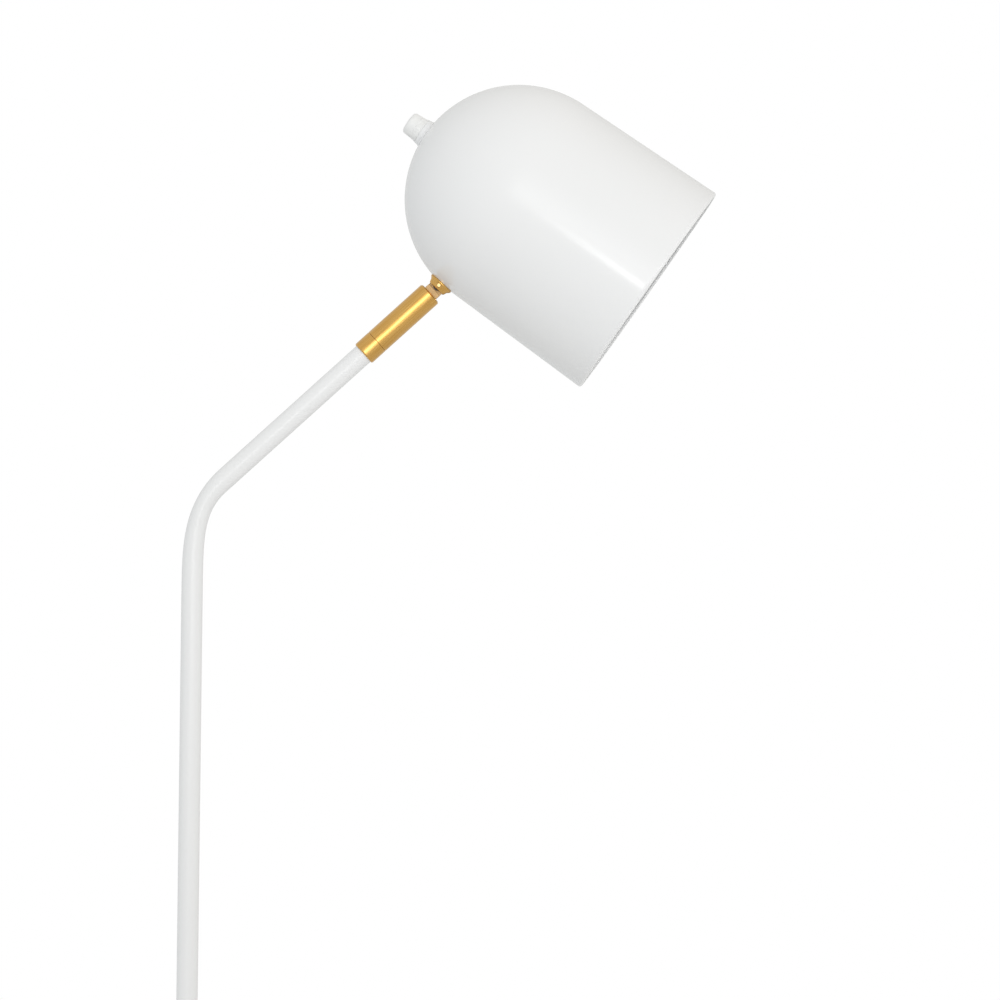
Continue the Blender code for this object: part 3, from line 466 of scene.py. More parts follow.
def plate(name, place, outline, thickness, rounding=0.0):
    """A flat piece in the frame's XZ plane from its outline, its rim rounded if asked."""
    shape = bmesh.new()
    face = shape.faces.new([shape.verts.new((x, -thickness / 2, z)) for x, z in outline])
    added = bmesh.ops.extrude_face_region(shape, geom=[face])
    moved = [item for item in added["geom"] if isinstance(item, bmesh.types.BMVert)]
    bmesh.ops.translate(shape, verts=moved, vec=(0.0, thickness, 0.0))
    if rounding:
        rims = [edge for edge in shape.edges if abs(edge.verts[0].co.y - edge.verts[1].co.y) < 1e-6]
        bmesh.ops.bevel(shape, geom=rims, offset=rounding, segments=2, profile=0.5, affect="EDGES")
    return place_mesh(name, shape, place)


def apply_modifiers(piece):
    """Keeps the evaluated mesh and drops the modifiers."""
    bpy.context.view_layer.update()
    graph = bpy.context.evaluated_depsgraph_get()
    result = piece.evaluated_get(graph)
    mesh = bpy.data.meshes.new_from_object(result, preserve_all_data_layers=True, depsgraph=graph)
    piece.modifiers.clear()
    piece.data = mesh


def boolean(piece, cutter, operation="DIFFERENCE", keep_shading=False):
    """Cuts or joins, then removes the tool.  keep_shading takes the normals of the uncut surface."""
    source = None
    if keep_shading:
        source = bpy.data.objects.new(piece.name + "_uncut", piece.data.copy())
        source.matrix_world = piece.matrix_world
        bpy.context.scene.collection.objects.link(source)
        source.data.shade_smooth()
        source.data.set_sharp_from_angle(angle=math.radians(40))
    step = piece.modifiers.new("cut", "BOOLEAN")
    step.operation = operation
    step.solver = "EXACT"
    step.object = cutter
    if source:
        carry = piece.modifiers.new("normals", "DATA_TRANSFER")
        carry.object = source
        carry.use_loop_data = True
        carry.data_types_loops = {"CUSTOM_NORMAL"}
        carry.loop_mapping = "POLYINTERP_NEAREST"
    apply_modifiers(piece)
    bpy.data.objects.remove(cutter, do_unlink=True)
    if source:
        bpy.data.objects.remove(source, do_unlink=True)


def sweep(name, path, rings, sides, pinch):
    """A closed tube along a path in the XZ plane.  Rings are (path index, radius), over the outside and back.

    The pinch flattens the tube in the path's plane where it bends, and widens it a little across."""
    shape = bmesh.new()
    across = Vector((0.0, 1.0, 0.0))
    loops = []
    for index, radius in rings:
        before = path[max(index - 1, 0)]
        after = path[min(index + 1, len(path) - 1)]
        inward = across.cross((after - before).normalized())
        loop = []
        flat = pinch.get(index, 0.0)
        for side in range(sides):
            angle = 2 * math.pi * side / sides
            offset = across * math.cos(angle) * (1 + 0.4 * flat) + inward * math.sin(angle) * (1 - flat)
            loop.append(shape.verts.new(path[index] + offset * radius))
        loops.append(loop)
    for first, second in zip(loops, loops[1:] + loops[:1]):
        for side in range(sides):
            following = (side + 1) % sides
            shape.faces.new((first[side], first[following], second[following], second[side]))
    return place_mesh(name, shape, UP)


# ---------------------------------------------------------------- shade
def make_shade():
    """Spun shell with a rolled edge, and the holes for the collar's thread and the switch."""
    mouth, _, rim = span("shade", HEAD)
    wall = 1.0 * MM
    hole = bore("shade", HEAD)
    rows = 24
    length = -DOME - mouth
    flare = rim - DOME
    outer = arc((0.0, -DOME), DOME, math.acos(hole / DOME), 0.0, 56)
    outer += [(DOME + flare * row / rows, -DOME - length * row / rows) for row in range(1, rows)]
    roll = 1.9 * MM
    lip = arc((rim - roll, mouth + roll), roll, 0.0, -math.pi / 2, 8)
    curl = 2.6 * MM
    lip += [(rim - curl, mouth + 0.1 * MM, 0.2 * MM), (rim - curl, mouth + curl / 2, 0.3 * MM),
            (rim - wall, mouth + 3.0 * MM, 0.8 * MM)]
    inner = [(DOME - wall + flare * (1 - row / rows), mouth + length * row / rows) for row in range(2, rows)]
    inner += arc((0.0, -DOME), DOME - wall, 0.0, math.acos(hole / (DOME - wall)), 56)
    profile = fillet([*outer, *lip, *inner], False, 6)
    piece = place_mesh("shade_shell", lathe_shape(profile, 144, True), HEAD)
    piece.data.materials.append(WHITE)
    boolean(piece, rod("collar_drill", COLLAR, spigot_radius() + GAP, 0.0, 12 * MM, 48), keep_shading=True)
    declare(piece, "head", "shade")


# ---------------------------------------------------------------- knob and ring nut
def make_knob():
    """Tapered knob with a softly domed end and a diamond-knurled band near its base."""
    low, high, reach = span("switch_knob", HEAD)
    top_radius = reach_between("switch_knob", HEAD, high - 1.6 * MM, high)
    high -= 0.8 * MM
    _, spindle_top, spindle_radius = span("switch_spindle", HEAD)
    hole = spindle_radius + GAP
    depth = spindle_top + GAP
    bottom = low - 0.22 * MM
    band_top = low + 4.0 * MM
    band_low = low + 0.9 * MM
    knurl_depth = 0.22 * MM

    def cone(height):
        return top_radius + (reach - 0.3 * MM - top_radius) * (high - height) / (high - low)

    top = [(0.0, high), (0.5 * top_radius, high - 0.15 * MM, 2 * MM), (top_radius, high - 0.7 * MM, 2.6 * MM),
           (cone(band_top + MM), band_top + MM), (cone(band_top), band_top + 0.25 * MM, 0.3 * MM),
           (cone(band_top) - knurl_depth, band_top)]
    foot = reach - 0.1 * MM
    under = [(cone(band_low) - knurl_depth, band_low), (foot, band_low - 0.25 * MM, 0.2 * MM),
             (foot, bottom, 0.05 * MM), (hole, bottom), (hole, depth), (0.0, depth)]
    rows = 18
    profile = fillet(top, False, 8)
    for row in range(1, rows):
        profile.append(Vector((cone(band_low), band_top + (band_low - band_top) * row / rows)))
    profile += fillet(under, False, 3)
    facets = 240
    teeth = 44
    slant = 2.5                        # teeth that a groove crosses from the band's foot to its top
    shape = lathe_shape(profile, facets, False)
    for vertex in shape.verts:
        radius = math.hypot(vertex.co.x, vertex.co.y)
        if not band_low + 1e-6 < vertex.co.z < band_top - 1e-6 or radius < hole + MM:
            continue
        turn = teeth * math.atan2(vertex.co.y, vertex.co.x)
        lead = 2 * math.pi * slant * (vertex.co.z - band_low) / (band_top - band_low)
        diamond = (0.5 + 0.5 * math.cos(turn + lead)) * (0.5 + 0.5 * math.cos(turn - lead))
        grow = (cone(vertex.co.z) - knurl_depth * (1 - diamond)) / radius
        vertex.co.x *= grow
        vertex.co.y *= grow
    piece = place_mesh("knob_knurled", shape, HEAD)
    finish_piece(piece, "knob", PLASTIC, "switch_knob", 60.0)


def make_ring_nut():
    """Nut that holds the switch: a low ring with a thin brim seated on the dome."""
    _, high, reach = span("switch_ring_nut", HEAD)
    hole = bore("switch_ring_nut", HEAD)
    seat = 0.03 * MM
    brim = reach + 0.35 * MM
    profile = [(hole, high, 0.15 * MM), (reach - 0.6 * MM, high, 0.12 * MM),
               (reach - 0.3 * MM, 0.5 * MM, 0.6 * MM), (brim, dome_sag(reach, seat) + 0.12 * MM, 0.1 * MM),
               (brim, dome_sag(brim, seat)), (hole, dome_sag(hole, seat))]
    lathe("ring_nut_turned", HEAD, profile, WHITE, "head", "switch_ring_nut", 96)


# ---------------------------------------------------------------- brass sleeve and knuckle
def make_sleeve():
    """Brass sleeve in two parts: the short ring that stays with the arm and the long part that swivels."""
    low, high, reach = span("sleeve_ring", ARM)
    hole = bore("sleeve_ring", ARM)
    socket = reach - 0.93 * MM
    shelf = high - 1.0 * MM
    top = high + 0.17 * MM
    profile = [(reach - 0.12 * MM, top, 0.1 * MM), (reach, top - 0.14 * MM, 0.1 * MM),
               (reach, low + 0.75 * MM, 0.7 * MM), (reach - 0.5 * MM, low, 0.4 * MM), (socket, low, 0.1 * MM),
               (socket, shelf), (hole, shelf), (hole, top)]
    lathe("ring_turned", ARM, profile, BRASS, "stand", "sleeve_ring", 96)

    low, high, reach = span("swivel_sleeve", ARM)
    _, washer_top, washer = span("swivel_friction_washer", ARM)
    plug = span("knuckle_tongue", ARM)[2]
    plug_bore = plug + 0.05 * MM
    floor = washer_top + GAP
    shelf = floor + 3 * MM
    hole = bore("swivel_sleeve", ARM)
    profile = [(reach - 0.95 * MM, high, 0.3 * MM), (reach, high - 0.85 * MM, 0.6 * MM),
               (reach, low + 0.14 * MM, 0.1 * MM), (reach - 0.12 * MM, low, 0.1 * MM), (washer + GAP, low),
               (washer + GAP, floor), (hole, floor), (hole, shelf), (plug_bore, shelf),
               (plug_bore, high, 0.2 * MM)]
    lathe("sleeve_turned", ARM, profile, BRASS, "sleeve", "swivel_sleeve", 96)


def make_tongue():
    """Round plug, flat neck and thin rounded tongue, milled from one bar."""
    points = local_points("knuckle_tongue", ARM)
    low, _, plug = span("knuckle_tongue", ARM)
    sleeve_top = span("swivel_sleeve", ARM)[1]
    half = tongue_half_width()
    thin = max(abs(point.y) for point in points if point.z > PIVOT_HEIGHT)
    thick_points = [point for point in points if abs(point.y) > thin + 0.3 * MM and point.z > sleeve_top + MM]
    neck_top = max(point.z for point in thick_points)
    thick = max(abs(point.y) for point in thick_points)
    piece = rod("tongue_milled", ARM, plug, low, sleeve_top - 0.3 * MM, 96)
    neck = block("neck", ARM, (-half, -thick, low + MM), (half, thick, neck_top), 0.25 * MM)
    root = sleeve_top - 2 * MM
    outline = [(half, root), *arc((0.0, PIVOT_HEIGHT), half, 0.0, math.pi, 40), (-half, root)]
    boolean(piece, neck, "UNION")
    boolean(piece, plate("tongue", ARM, outline, 2 * thin, 0.15 * MM), "UNION")
    across = axis_frame(PIVOT, Vector((0.0, 1.0, 0.0)))
    pin = span("knuckle_pin", across)[2]
    boolean(piece, rod("tongue_pin_drill", across, pin + 0.1 * MM, -10 * MM, 10 * MM, 32))
    finish_piece(piece, "sleeve", BRASS_FLAT, "knuckle_tongue", 30.0)
    # The thin tongue's faces above the neck take the dark brass: painted shade in the gap under the collar.
    piece.data.materials.append(BRASS_PAINTED_SHADE)
    inverse = ARM.inverted()
    for face in piece.data.polygons:
        spot = inverse @ face.center
        if spot.z > neck_top - 0.05 * MM and abs(spot.y) > 0.5 * thin:
            face.material_index = 1


def make_collar():
    """Flared collar: a concave cone under the dome, a thread through it, and a slot for the tongue."""
    low, high, _ = span("knuckle_collar", COLLAR)
    slot_half = min(abs(point.y) for point in local_points("knuckle_collar", COLLAR)
                    if point.z < low + 0.1 * MM and math.hypot(point.x, point.y) > 0.8 * narrow_end(low))
    spigot = spigot_radius()
    wide = reach_between("knuckle_collar", COLLAR, low, dome_under(0.0) + MM) - 0.3 * MM
    narrow = narrow_end(low)
    low += 0.75 * MM
    seat = 0.04 * MM
    brim = dome_under(wide, seat)
    waist = (narrow + 0.35 * (wide - narrow), low + 0.5 * (brim - low), 2 * MM)
    profile = [(0.0, high), (spigot, high, 0.4 * MM), (spigot, dome_under(spigot, seat)),
               (wide, brim, 0.12 * MM), (wide + 0.05 * MM, brim - 0.9 * MM, 0.4 * MM), waist,
               (narrow + 0.1 * MM, low + 0.5 * MM, 0.5 * MM), (narrow - 0.35 * MM, low, 0.2 * MM), (0.0, low)]
    piece = place_mesh("collar_turned", lathe_shape(fillet(profile, False, 6), 96, False), COLLAR)
    piece.data.materials.append(BRASS)
    across = axis_frame(PIVOT, Vector((0.0, 1.0, 0.0)))
    pin = span("knuckle_pin", across)[2]
    clear = 20 * MM                    # past the collar on both sides
    slot_end = dome_under(0.0) + 0.9 * MM
    pocket = tongue_half_width() + 0.45 * MM
    cutters = [block("slot", COLLAR, (-clear, -slot_half, -15 * MM), (clear, slot_half, slot_end)),
               rod("pocket", across, pocket, -slot_half, slot_half),
               rod("collar_pin_drill", across, pin + 0.08 * MM, -clear, clear, 32),
               rod("wire_drill", COLLAR, 2.3 * MM, 0.0, high + MM, 32)]
    for cutter in cutters:
        boolean(piece, cutter, keep_shading=True)
    declare(piece, "head", "knuckle_collar")


def make_pin():
    """Knuckle's pin, its ends slightly crowned."""
    across = axis_frame(PIVOT, Vector((0.0, 1.0, 0.0)))
    low, high, radius = span("knuckle_pin", across)
    crown = 0.05 * MM
    corner = 0.2 * MM
    profile = [(0.0, high + crown), (radius, high, corner), (radius, low, corner), (0.0, low - crown)]
    lathe("pin_turned", across, profile, BRASS_RAW, "head", "knuckle_pin", 48, closed=False)


def make_collar_nut():
    """Hexagon nut on the collar's thread, its corners chamfered."""
    low, high, radius = span("collar_nut", COLLAR)
    hole = bore("collar_nut", COLLAR)
    corner = 0.6 * MM
    side = 0.99 * radius
    face = 0.9 * radius
    profile = [(hole, high, 0.2 * MM), (face, high), (side, high - corner), (side, low + corner),
               (face, low), (hole, low, 0.2 * MM)]
    nut = place_mesh("collar_nut_body", lathe_shape(fillet(profile, True), 96, True), COLLAR)
    nut.data.materials.append(BRASS_RAW)
    boolean(nut, rod("hexagon", COLLAR, radius, low - MM, high + MM, 6), "INTERSECT")
    finish_piece(nut, "head", BRASS_RAW, "collar_nut", 25.0)


# ---------------------------------------------------------------- stem
def make_stem():
    """Bent upper tube and straight lower tube, with softly broken ends."""
    radius = span("lower_stem", UP)[2]
    wall = 1.2 * MM
    end = span("arm_tube", ARM)[1]
    corner = ARM_START - ARM_AXIS * (ARM_START.x / ARM_AXIS.x)
    turn = ARM_AXIS.angle(Vector((0.0, 0.0, 1.0)))
    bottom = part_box("arm_tube")[0][2]
    soft = 0.3 * MM
    bend_length = 102 * MM
    steps = 64
    easing = 2.4                       # the bend is slow at its lower end and tightest near the arm
    flattening = 0.11
    bend = [Vector((0.0, 0.0, 0.0))]
    for step in range(steps):
        share = ((step + 0.5) / steps) ** easing
        angle = turn * share * share * (3 - 2 * share)
        bend.append(bend[-1] + Vector((math.sin(angle), 0.0, math.cos(angle))) * bend_length / steps)
    bend_start = corner.z + bend[-1].x / math.tan(turn) - bend[-1].z
    path = [Vector((0.0, 0.0, bottom)), Vector((0.0, 0.0, bottom + soft))]
    path += [Vector((0.0, 0.0, bottom + (bend_start - bottom) * step / 12)) for step in range(1, 12)]
    first = len(path)
    path += [point + Vector((0.0, 0.0, bend_start)) for point in bend]
    start = path[-1]
    finish = ARM_START + ARM_AXIS * end
    path += [start.lerp(finish, step / 8) for step in range(1, 8)]
    path += [finish - ARM_AXIS * soft, finish]
    last = len(path) - 1
    rings = [(0, radius - soft)] + [(index, radius) for index in range(1, last)] + [(last, radius - soft)]
    rings += [(last, radius - wall)] + [(index, radius - wall) for index in range(last - 1, -1, -1)]
    pinch = {first + step: flattening * math.sin(math.pi * (step / steps) ** easing) ** 2
             for step in range(steps + 1)}
    finish_piece(sweep("stem_bent", path, rings, 64, pinch), "stand", WHITE, "arm_tube", 50.0)

    low, high, _ = span("lower_stem", UP)
    top = high + 0.2 * MM
    profile = [(radius, top, 0.1 * MM)]
    profile += [(radius, top + (low - top) * step / 10) for step in range(1, 10)]
    profile += [(radius, low), (radius - wall, low), (radius - wall, top)]
    lathe("stem_straight", UP, profile, WHITE, "stand", "lower_stem", 64)


def make_foot():
    """Ferrule where the stem meets the base, with a concave flare."""
    radius = span("lower_stem", UP)[2]
    low, high, reach = span("stem_foot", UP)
    seat = low - 0.25 * MM
    floor = low + 3 * MM
    hole = bore("stem_foot", UP)
    well = radius + 0.1 * MM
    lip = radius + 1.7 * MM
    profile = [(well, high, 0.2 * MM), (lip, high, 0.9 * MM), (lip + 0.2 * MM, low + 6.5 * MM, 5 * MM),
               (reach, low + 1.6 * MM, 0.8 * MM), (reach, seat, 0.2 * MM), (hole, seat), (hole, floor),
               (well, floor)]
    lathe("foot_turned", UP, profile, WHITE, "stand", "stem_foot", 96, steps=8)


# ---------------------------------------------------------------- base
def make_base():
    """Spun cover with a soft shoulder and a rolled hem, felt pad and the cord's rubber gland."""
    low, high, reach = span("base_cover", UP)
    hole = bore("base_cover", UP)
    wall = 1.2 * MM
    crown = 2.0 * MM
    round_edge = 7.0 * MM
    rows = 20

    def crown_height(radius):
        return high - crown * (radius / reach) ** 2

    shoulder = reach - round_edge
    shoulder_centre = (shoulder, crown_height(shoulder) - round_edge)
    radii = [hole + (shoulder - hole) * row / rows for row in range(rows)]
    outer = [(radius, crown_height(radius)) for radius in radii]
    outer += arc(shoulder_centre, round_edge, math.pi / 2, 0.0, 16)
    fold = reach - 1.5 * wall
    hem = [(reach, low, 0.5 * MM), (fold, low, 0.5 * MM), (fold, low + 1.5 * MM, 0.3 * MM),
           (reach - wall, low + 2.4 * MM)]
    inner = arc(shoulder_centre, round_edge - wall, 0.0, math.pi / 2, 12)
    inner += [(radius, crown_height(radius) - wall) for radius in reversed(radii)]
    piece = place_mesh("cover_spun", lathe_shape(fillet([*outer, *hem, *inner], True), 160, True), UP)
    piece.data.materials.append(WHITE)
    gland_low, gland_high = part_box("cord_gland")
    height = (gland_low[2] + gland_high[2]) / 2
    gland = axis_frame(Vector((0.0, 0.0, height)), Vector((-1.0, 0.0, 0.0)))
    neck = min(reach_between("cord_gland", gland, reach - 2 * MM, reach + MM), 5 * MM)
    boolean(piece, rod("gland_drill", gland, neck, reach - 8 * MM, reach + 2 * MM, 48), keep_shading=True)
    declare(piece, "stand", "base_cover")

    low, high, flange = span("cord_gland", gland)
    hole = bore("cord_gland", gland)
    seat = reach + 0.1 * MM
    neck -= 0.1 * MM
    profile = [(hole, high, 0.5 * MM), (hole + 1.4 * MM, high, 0.6 * MM),
               (flange - 0.2 * MM, high - 0.9 * MM, 0.5 * MM), (flange, seat, 0.2 * MM), (neck, seat),
               (neck, low, 0.5 * MM), (hole, low, 0.5 * MM)]
    lathe("gland_moulded", gland, profile, RUBBER, "stand", "cord_gland", 64)

    low, high, radius = span("base_pad", UP)
    profile = [(0.0, high), (radius, high, 0.7 * MM), (radius, low, 0.7 * MM), (0.0, low)]
    lathe("pad_cut", UP, profile, FELT, "stand", "base_pad", 128, closed=False)


# ---------------------------------------------------------------- lampholder and bulb
def make_cup():
    """Drawn cup over the lampholder, with a hole in its side for the lead."""
    low, high, reach = span("holder_cup", HEAD)
    hole = bore("holder_cup", HEAD)
    wall = 1.0 * MM
    profile = [(hole, high, 0.1 * MM), (reach, high, 2.2 * MM), (reach, low, 0.4 * MM),
               (reach - wall, low, 0.4 * MM), (reach - wall, high - wall, 1.2 * MM),
               (hole, high - wall, 0.1 * MM)]
    cup = place_mesh("cup_drawn", lathe_shape(fillet(profile, True, 8), 96, True), HEAD)
    cup.data.materials.append(WHITE)
    entry = [point for point in local_points("head_leads", HEAD) if abs(point.x + reach) < 4 * MM]
    height = sum(point.z for point in entry) / len(entry)
    side = axis_frame(HEAD @ Vector((0.0, 0.0, height)), HEAD.to_3x3() @ Vector((-1.0, 0.0, 0.0)))
    boolean(cup, rod("lead_drill", side, 2.6 * MM, reach - 4 * MM, reach + 2 * MM, 32), keep_shading=True)
    declare(cup, "head", "holder_cup")


def make_holder_ring():
    """Screw ring of the lampholder, ribbed for the fingers."""
    low, high, reach = span("lampholder_ring", HEAD)
    hole = bore("lampholder_ring", HEAD)
    rows = 14
    ribs = 40
    rib_depth = 0.45 * MM
    plain_end = 1.5 * MM
    profile = [(hole, high, 0.3 * MM), (reach, high, 0.8 * MM)]
    profile += [(reach, high + (low - high) * row / rows) for row in range(1, rows)]
    profile += [(reach, low, 0.9 * MM), (hole, low, 0.5 * MM)]
    shape = lathe_shape(fillet(profile, True), 240, True)
    for vertex in shape.verts:
        radius = math.hypot(vertex.co.x, vertex.co.y)
        if radius > reach - 0.2 * MM and low + plain_end < vertex.co.z < high - plain_end:
            groove = 0.5 + 0.5 * math.cos(ribs * math.atan2(vertex.co.y, vertex.co.x))
            shrink = 1 - rib_depth * groove / radius
            vertex.co.x *= shrink
            vertex.co.y *= shrink
    piece = place_mesh("holder_ring_ribbed", shape, HEAD)
    finish_piece(piece, "head", BLACK, "lampholder_ring", 60.0)


def make_holder_body():
    """Moulded body of the lampholder, open towards the bulb."""
    low, high, reach = span("lampholder_body", HEAD)
    inside = min(math.hypot(point.x, point.y) for point in local_points("lampholder_body", HEAD)
                 if point.z < low + 0.3 * MM)
    well = span("lampholder_contact", HEAD)[1] + GAP
    profile = [(0.0, high), (reach, high, 1.2 * MM), (reach, low, 0.5 * MM), (inside, low, 0.4 * MM),
               (inside, well), (0.0, well)]
    lathe("holder_moulded", HEAD, profile, BLACK, "head", "lampholder_body", 96, False)


def make_bulb_neck():
    """The bulb's plastic neck: the CAD node's outline with rounded corners."""
    low, high, _ = span("bulb_neck", HEAD)
    spots = {(round(math.hypot(point.x, point.y), 5), round(point.z, 5))
             for point in local_points("bulb_neck", HEAD)}
    levels = []
    for radius, height in sorted(spots, key=lambda spot: -spot[1]):
        if radius <= 5 * MM:
            continue
        if not levels or levels[-1][1] - height > 0.2 * MM:
            levels.append([radius, height])
        else:
            levels[-1][0] = max(levels[-1][0], radius)
    end = low + 0.2 * MM
    profile = [(0.0, high)]
    profile += [(radius, height, 1.5 * MM) for radius, height in levels]
    profile += [(levels[-1][0] - 1.5 * MM, end), (0.0, end)]
    lathe("bulb_neck_moulded", HEAD, profile, PLASTIC, "head", "bulb_neck", 96, closed=False)


def make_globe():
    """Hollow opal globe, open towards its neck."""
    low, high, radius = span("bulb_globe", HEAD)
    centre = low + radius
    wall = 0.9 * MM
    open_angle = math.asin(min((high - centre) / radius, 0.95))
    outside = arc((0.0, centre), radius, open_angle, -math.pi / 2, 48)
    outside[-1] = (0.0, low)
    inside = arc((0.0, centre), radius - wall, open_angle, -math.pi / 2, 40)
    inside[-1] = (0.0, low + wall)
    shells = [lathe_shape(profile, 96, False) for profile in (inside, outside)]
    finish_piece(join_shells("globe_blown", shells), "head", OPAL, "bulb_globe", 50.0)


def join_shells(name, shells):
    """One closed body from an inner and an outer surface, joined round their open edges."""
    joined = bmesh.new()
    for shape in shells:
        mesh = bpy.data.meshes.new(name)
        shape.to_mesh(mesh)
        shape.free()
        joined.from_mesh(mesh)
    rim = [edge for edge in joined.edges if edge.is_boundary]
    bmesh.ops.bridge_loops(joined, edges=rim)
    return place_mesh(name, joined, HEAD)


def make_bulb_cap():
    """Rolled aluminium screw cap: a real helical thread, three and a half turns."""
    low, high, reach = span("bulb_cap", HEAD)
    rows = 84
    pitch = 3.6 * MM
    thread = 0.7 * MM
    run_out = 1.5 * MM
    top = high - 5.5 * MM
    foot = low + 0.5 * MM
    core = reach - thread
    profile = [(0.0, high), (4.2 * MM, high), (5.2 * MM, high - 1.2 * MM),
               (reach - 2.4 * MM, high - 3.6 * MM)]
    profile += [(core, top + (low + MM - top) * row / rows) for row in range(rows + 1)]
    profile += [(core, low), (0.0, low)]
    shape = lathe_shape(profile, 96, False)
    for vertex in shape.verts:
        if foot < vertex.co.z < top + 1e-6:
            radius = math.hypot(vertex.co.x, vertex.co.y)
            phase = (vertex.co.z - low) / pitch + math.atan2(vertex.co.y, vertex.co.x) / (2 * math.pi)
            fade = min(1.0, (top - vertex.co.z) / run_out, (vertex.co.z - foot) / run_out)
            grow = 1 + fade * thread * (0.5 + 0.5 * math.cos(2 * math.pi * phase)) / radius
            vertex.co.x *= grow
            vertex.co.y *= grow
    piece = place_mesh("cap_threaded", shape, HEAD)
    finish_piece(piece, "head", ALUMINIUM, "bulb_cap", 60.0)


make_shade()
make_knob()
make_ring_nut()
make_sleeve()
make_tongue()
make_collar()
make_pin()
make_collar_nut()
make_stem()
make_foot()
make_base()
make_cup()
make_holder_ring()
make_holder_body()
make_bulb_cap()
make_bulb_neck()
make_globe()


# ---------------------------------------------------------------- stage, light and camera
UPPER_SIDE = HEAD.to_3x3() @ Vector((1.0, 0.0, 0.0))
TO_CAMERA = Vector((0.0, -1.0, 0.0))
EVEN_LIGHT = 0.755                       # strengths of the world's light
KEY_LIGHT = 0.12
FRONT_LIGHT = 2.0
CAMERA_DISTANCE = 3.0
CAMERA_AIM = Vector((0.1945, 0.0, 1.2368))


def lobe(tree, direction, width, strength):
    """Light from round one direction: strength times the cosine to a power, the width."""
    coordinates = add_node(tree, "ShaderNodeTexCoord")
    dot = add_node(tree, "ShaderNodeVectorMath", operation="DOT_PRODUCT")
    dot.inputs[1].default_value = direction.normalized()
    clamp = add_node(tree, "ShaderNodeMath", operation="MAXIMUM")
    clamp.inputs[1].default_value = 0.0
    power = add_node(tree, "ShaderNodeMath", operation="POWER")
    power.inputs[1].default_value = width
    scale = add_node(tree, "ShaderNodeMath", operation="MULTIPLY")
    scale.inputs[1].default_value = strength
    tree.links.new(coordinates.outputs["Generated"], dot.inputs[0])
    tree.links.new(dot.outputs["Value"], clamp.inputs[0])
    tree.links.new(clamp.outputs["Value"], power.inputs[0])
    tree.links.new(power.outputs["Value"], scale.inputs[0])
    return scale.outputs["Value"]


def add_up(tree, first, second):
    """Adds a plain number or another node's value to a node's value."""
    total = add_node(tree, "ShaderNodeMath", operation="ADD")
    tree.links.new(first, total.inputs[0])
    if isinstance(second, float):
        total.inputs[1].default_value = second
    else:
        tree.links.new(second, total.inputs[1])
    return total.outputs["Value"]


def white_world():
    """White behind the lamp.  Its light is even, cooler from the lower side and warmer from the upper side,
    with a broad soft source and a narrower one beside the camera."""
    world = bpy.data.worlds.new("studio")
    bpy.context.scene.world = world
    world.use_nodes = True
    tree = world.node_tree
    background = tree.nodes["Background"]
    seen = add_node(tree, "ShaderNodeBackground")
    seen.inputs["Color"].default_value = (1.0, 1.0, 1.0, 1.0)
    seen.inputs["Strength"].default_value = 1.0
    path = add_node(tree, "ShaderNodeLightPath")
    mix = add_node(tree, "ShaderNodeMixShader")
    tint = add_node(tree, "ShaderNodeValToRGB")
    tint.color_ramp.elements[0].color = (0.935, 0.975, 1.0, 1.0)
    tint.color_ramp.elements[1].color = (1.0, 0.975, 0.93, 1.0)
    coordinates = add_node(tree, "ShaderNodeTexCoord")
    side = add_node(tree, "ShaderNodeVectorMath", operation="DOT_PRODUCT")
    side.inputs[1].default_value = UPPER_SIDE * 0.5
    links = tree.links
    links.new(coordinates.outputs["Generated"], side.inputs[0])
    links.new(add_up(tree, side.outputs["Value"], 0.5), tint.inputs["Fac"])
    links.new(tint.outputs["Color"], background.inputs["Color"])
    key = TO_CAMERA * 0.92 + UPPER_SIDE * 0.25 - SHADE_AXIS * 0.21
    broad = lobe(tree, key, 3.0, KEY_LIGHT)
    front = lobe(tree, TO_CAMERA + Vector((-0.022, 0.0, 0.062)), 60.0, FRONT_LIGHT)
    links.new(add_up(tree, add_up(tree, broad, front), EVEN_LIGHT), background.inputs["Strength"])
    links.new(path.outputs["Is Camera Ray"], mix.inputs["Fac"])
    links.new(background.outputs["Background"], mix.inputs[1])
    links.new(seen.outputs["Background"], mix.inputs[2])
    links.new(mix.outputs["Shader"], tree.nodes["World Output"].inputs["Surface"])


def area_light(name, place, aim, along, length, width, watts, spread):
    """A rectangular light at place facing aim, its length along a direction, spreading over an angle."""
    light = bpy.data.lights.new(name, "AREA")
    light.shape = "RECTANGLE"
    light.size = length
    light.size_y = width
    light.energy = watts
    light.spread = math.radians(spread)
    lamp = bpy.data.objects.new(name, light)
    bpy.context.scene.collection.objects.link(lamp)
    back = (place - aim).normalized()
    x = (along - back * along.dot(back)).normalized()
    turn = Matrix((x, back.cross(x), back)).transposed().to_4x4()
    turn.translation = place
    lamp.matrix_world = turn
    lamp.visible_camera = False


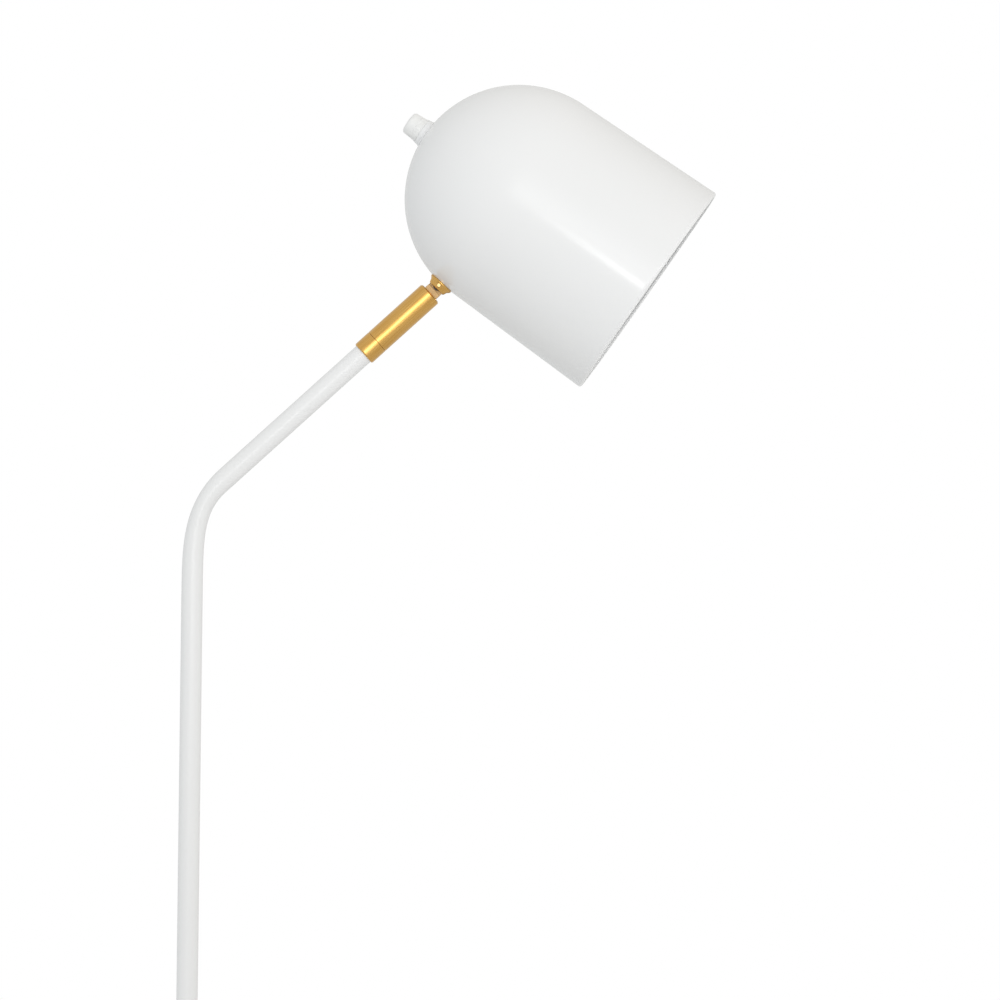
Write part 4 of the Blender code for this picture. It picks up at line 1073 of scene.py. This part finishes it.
def make_floor():
    """A round pale floor that fades into the white surroundings."""
    radius = 4.2
    fade_start = 1.0
    level = -GAP                       # clear of the felt pad
    shape = lathe_shape([(0.0, level), (radius, level)], 96, False)
    floor = place_mesh("floor", shape, UP)
    material, tree, shader = new_material("floor_paper")
    links = tree.links
    paper = blend_colour(tree, noise(tree, 3.0), (0.84, 0.84, 0.838), (0.86, 0.86, 0.857))
    links.new(paper, shader.inputs["Base Color"])
    shader.inputs["Roughness"].default_value = 0.75
    coordinates = add_node(tree, "ShaderNodeTexCoord")
    length = add_node(tree, "ShaderNodeVectorMath", operation="LENGTH")
    spread = add_node(tree, "ShaderNodeMapRange", interpolation_type="SMOOTHSTEP")
    spread.inputs["From Min"].default_value = fade_start
    spread.inputs["From Max"].default_value = radius * 0.97
    clear = add_node(tree, "ShaderNodeBsdfTransparent")
    mix = add_node(tree, "ShaderNodeMixShader")
    links.new(coordinates.outputs["Object"], length.inputs[0])
    links.new(length.outputs["Value"], spread.inputs["Value"])
    links.new(spread.outputs["Result"], mix.inputs["Fac"])
    links.new(shader.outputs["BSDF"], mix.inputs[1])
    links.new(clear.outputs["BSDF"], mix.inputs[2])
    links.new(mix.outputs["Shader"], tree.nodes["Material Output"].inputs["Surface"])
    floor.data.materials.append(material)


def make_camera():
    """A long lens level with the head, looking slightly upwards at the upper half of the lamp."""
    view_width = 0.634
    upward = math.radians(1.4)
    roll = math.radians(0.62)
    data = bpy.data.cameras.new("camera")
    data.sensor_width = 36.0
    data.lens = data.sensor_width * CAMERA_DISTANCE / view_width
    camera = bpy.data.objects.new("camera", data)
    bpy.context.scene.collection.objects.link(camera)
    look = Vector((0.0, math.cos(upward), math.sin(upward)))
    camera.location = CAMERA_AIM - look * CAMERA_DISTANCE
    camera.rotation_mode = "QUATERNION"
    camera.rotation_quaternion = look.to_track_quat("-Z", "Y") @ Matrix.Rotation(roll, 3, "Z").to_quaternion()
    bpy.context.scene.camera = camera
    return camera.location


def make_lights(camera_place):
    """Strip for the streak along the shade, broad key from the front, and a small fill into the mouth."""
    strip = camera_place + SHADE_AXIS * 0.213 + UPPER_SIDE * 0.03
    barrel_middle = DOME_CENTRE - SHADE_AXIS * 50 * MM
    area_light("strip", strip, barrel_middle, SHADE_AXIS, 0.16, 0.34, 0.0125, 14.0)
    beside_head = DOME_CENTRE - SHADE_AXIS * 30 * MM + Vector((0.30, 0.0, 0.45))
    key = beside_head + Vector((0.27, -0.96, 0.06)) * 1.6
    area_light("key", key, beside_head, Vector((1.0, 0.0, 0.0)), 1.8, 1.8, 1.85, 50.0)
    mouth_middle = DOME_CENTRE - SHADE_AXIS * 0.1
    fill = mouth_middle - SHADE_AXIS * 1.3
    area_light("fill", fill, mouth_middle, Vector((0.0, 1.0, 0.0)), 0.1, 0.1, 0.010, 6.0)


white_world()
make_lights(make_camera())
make_floor()
bpy.context.scene.view_settings.view_transform = "Standard"
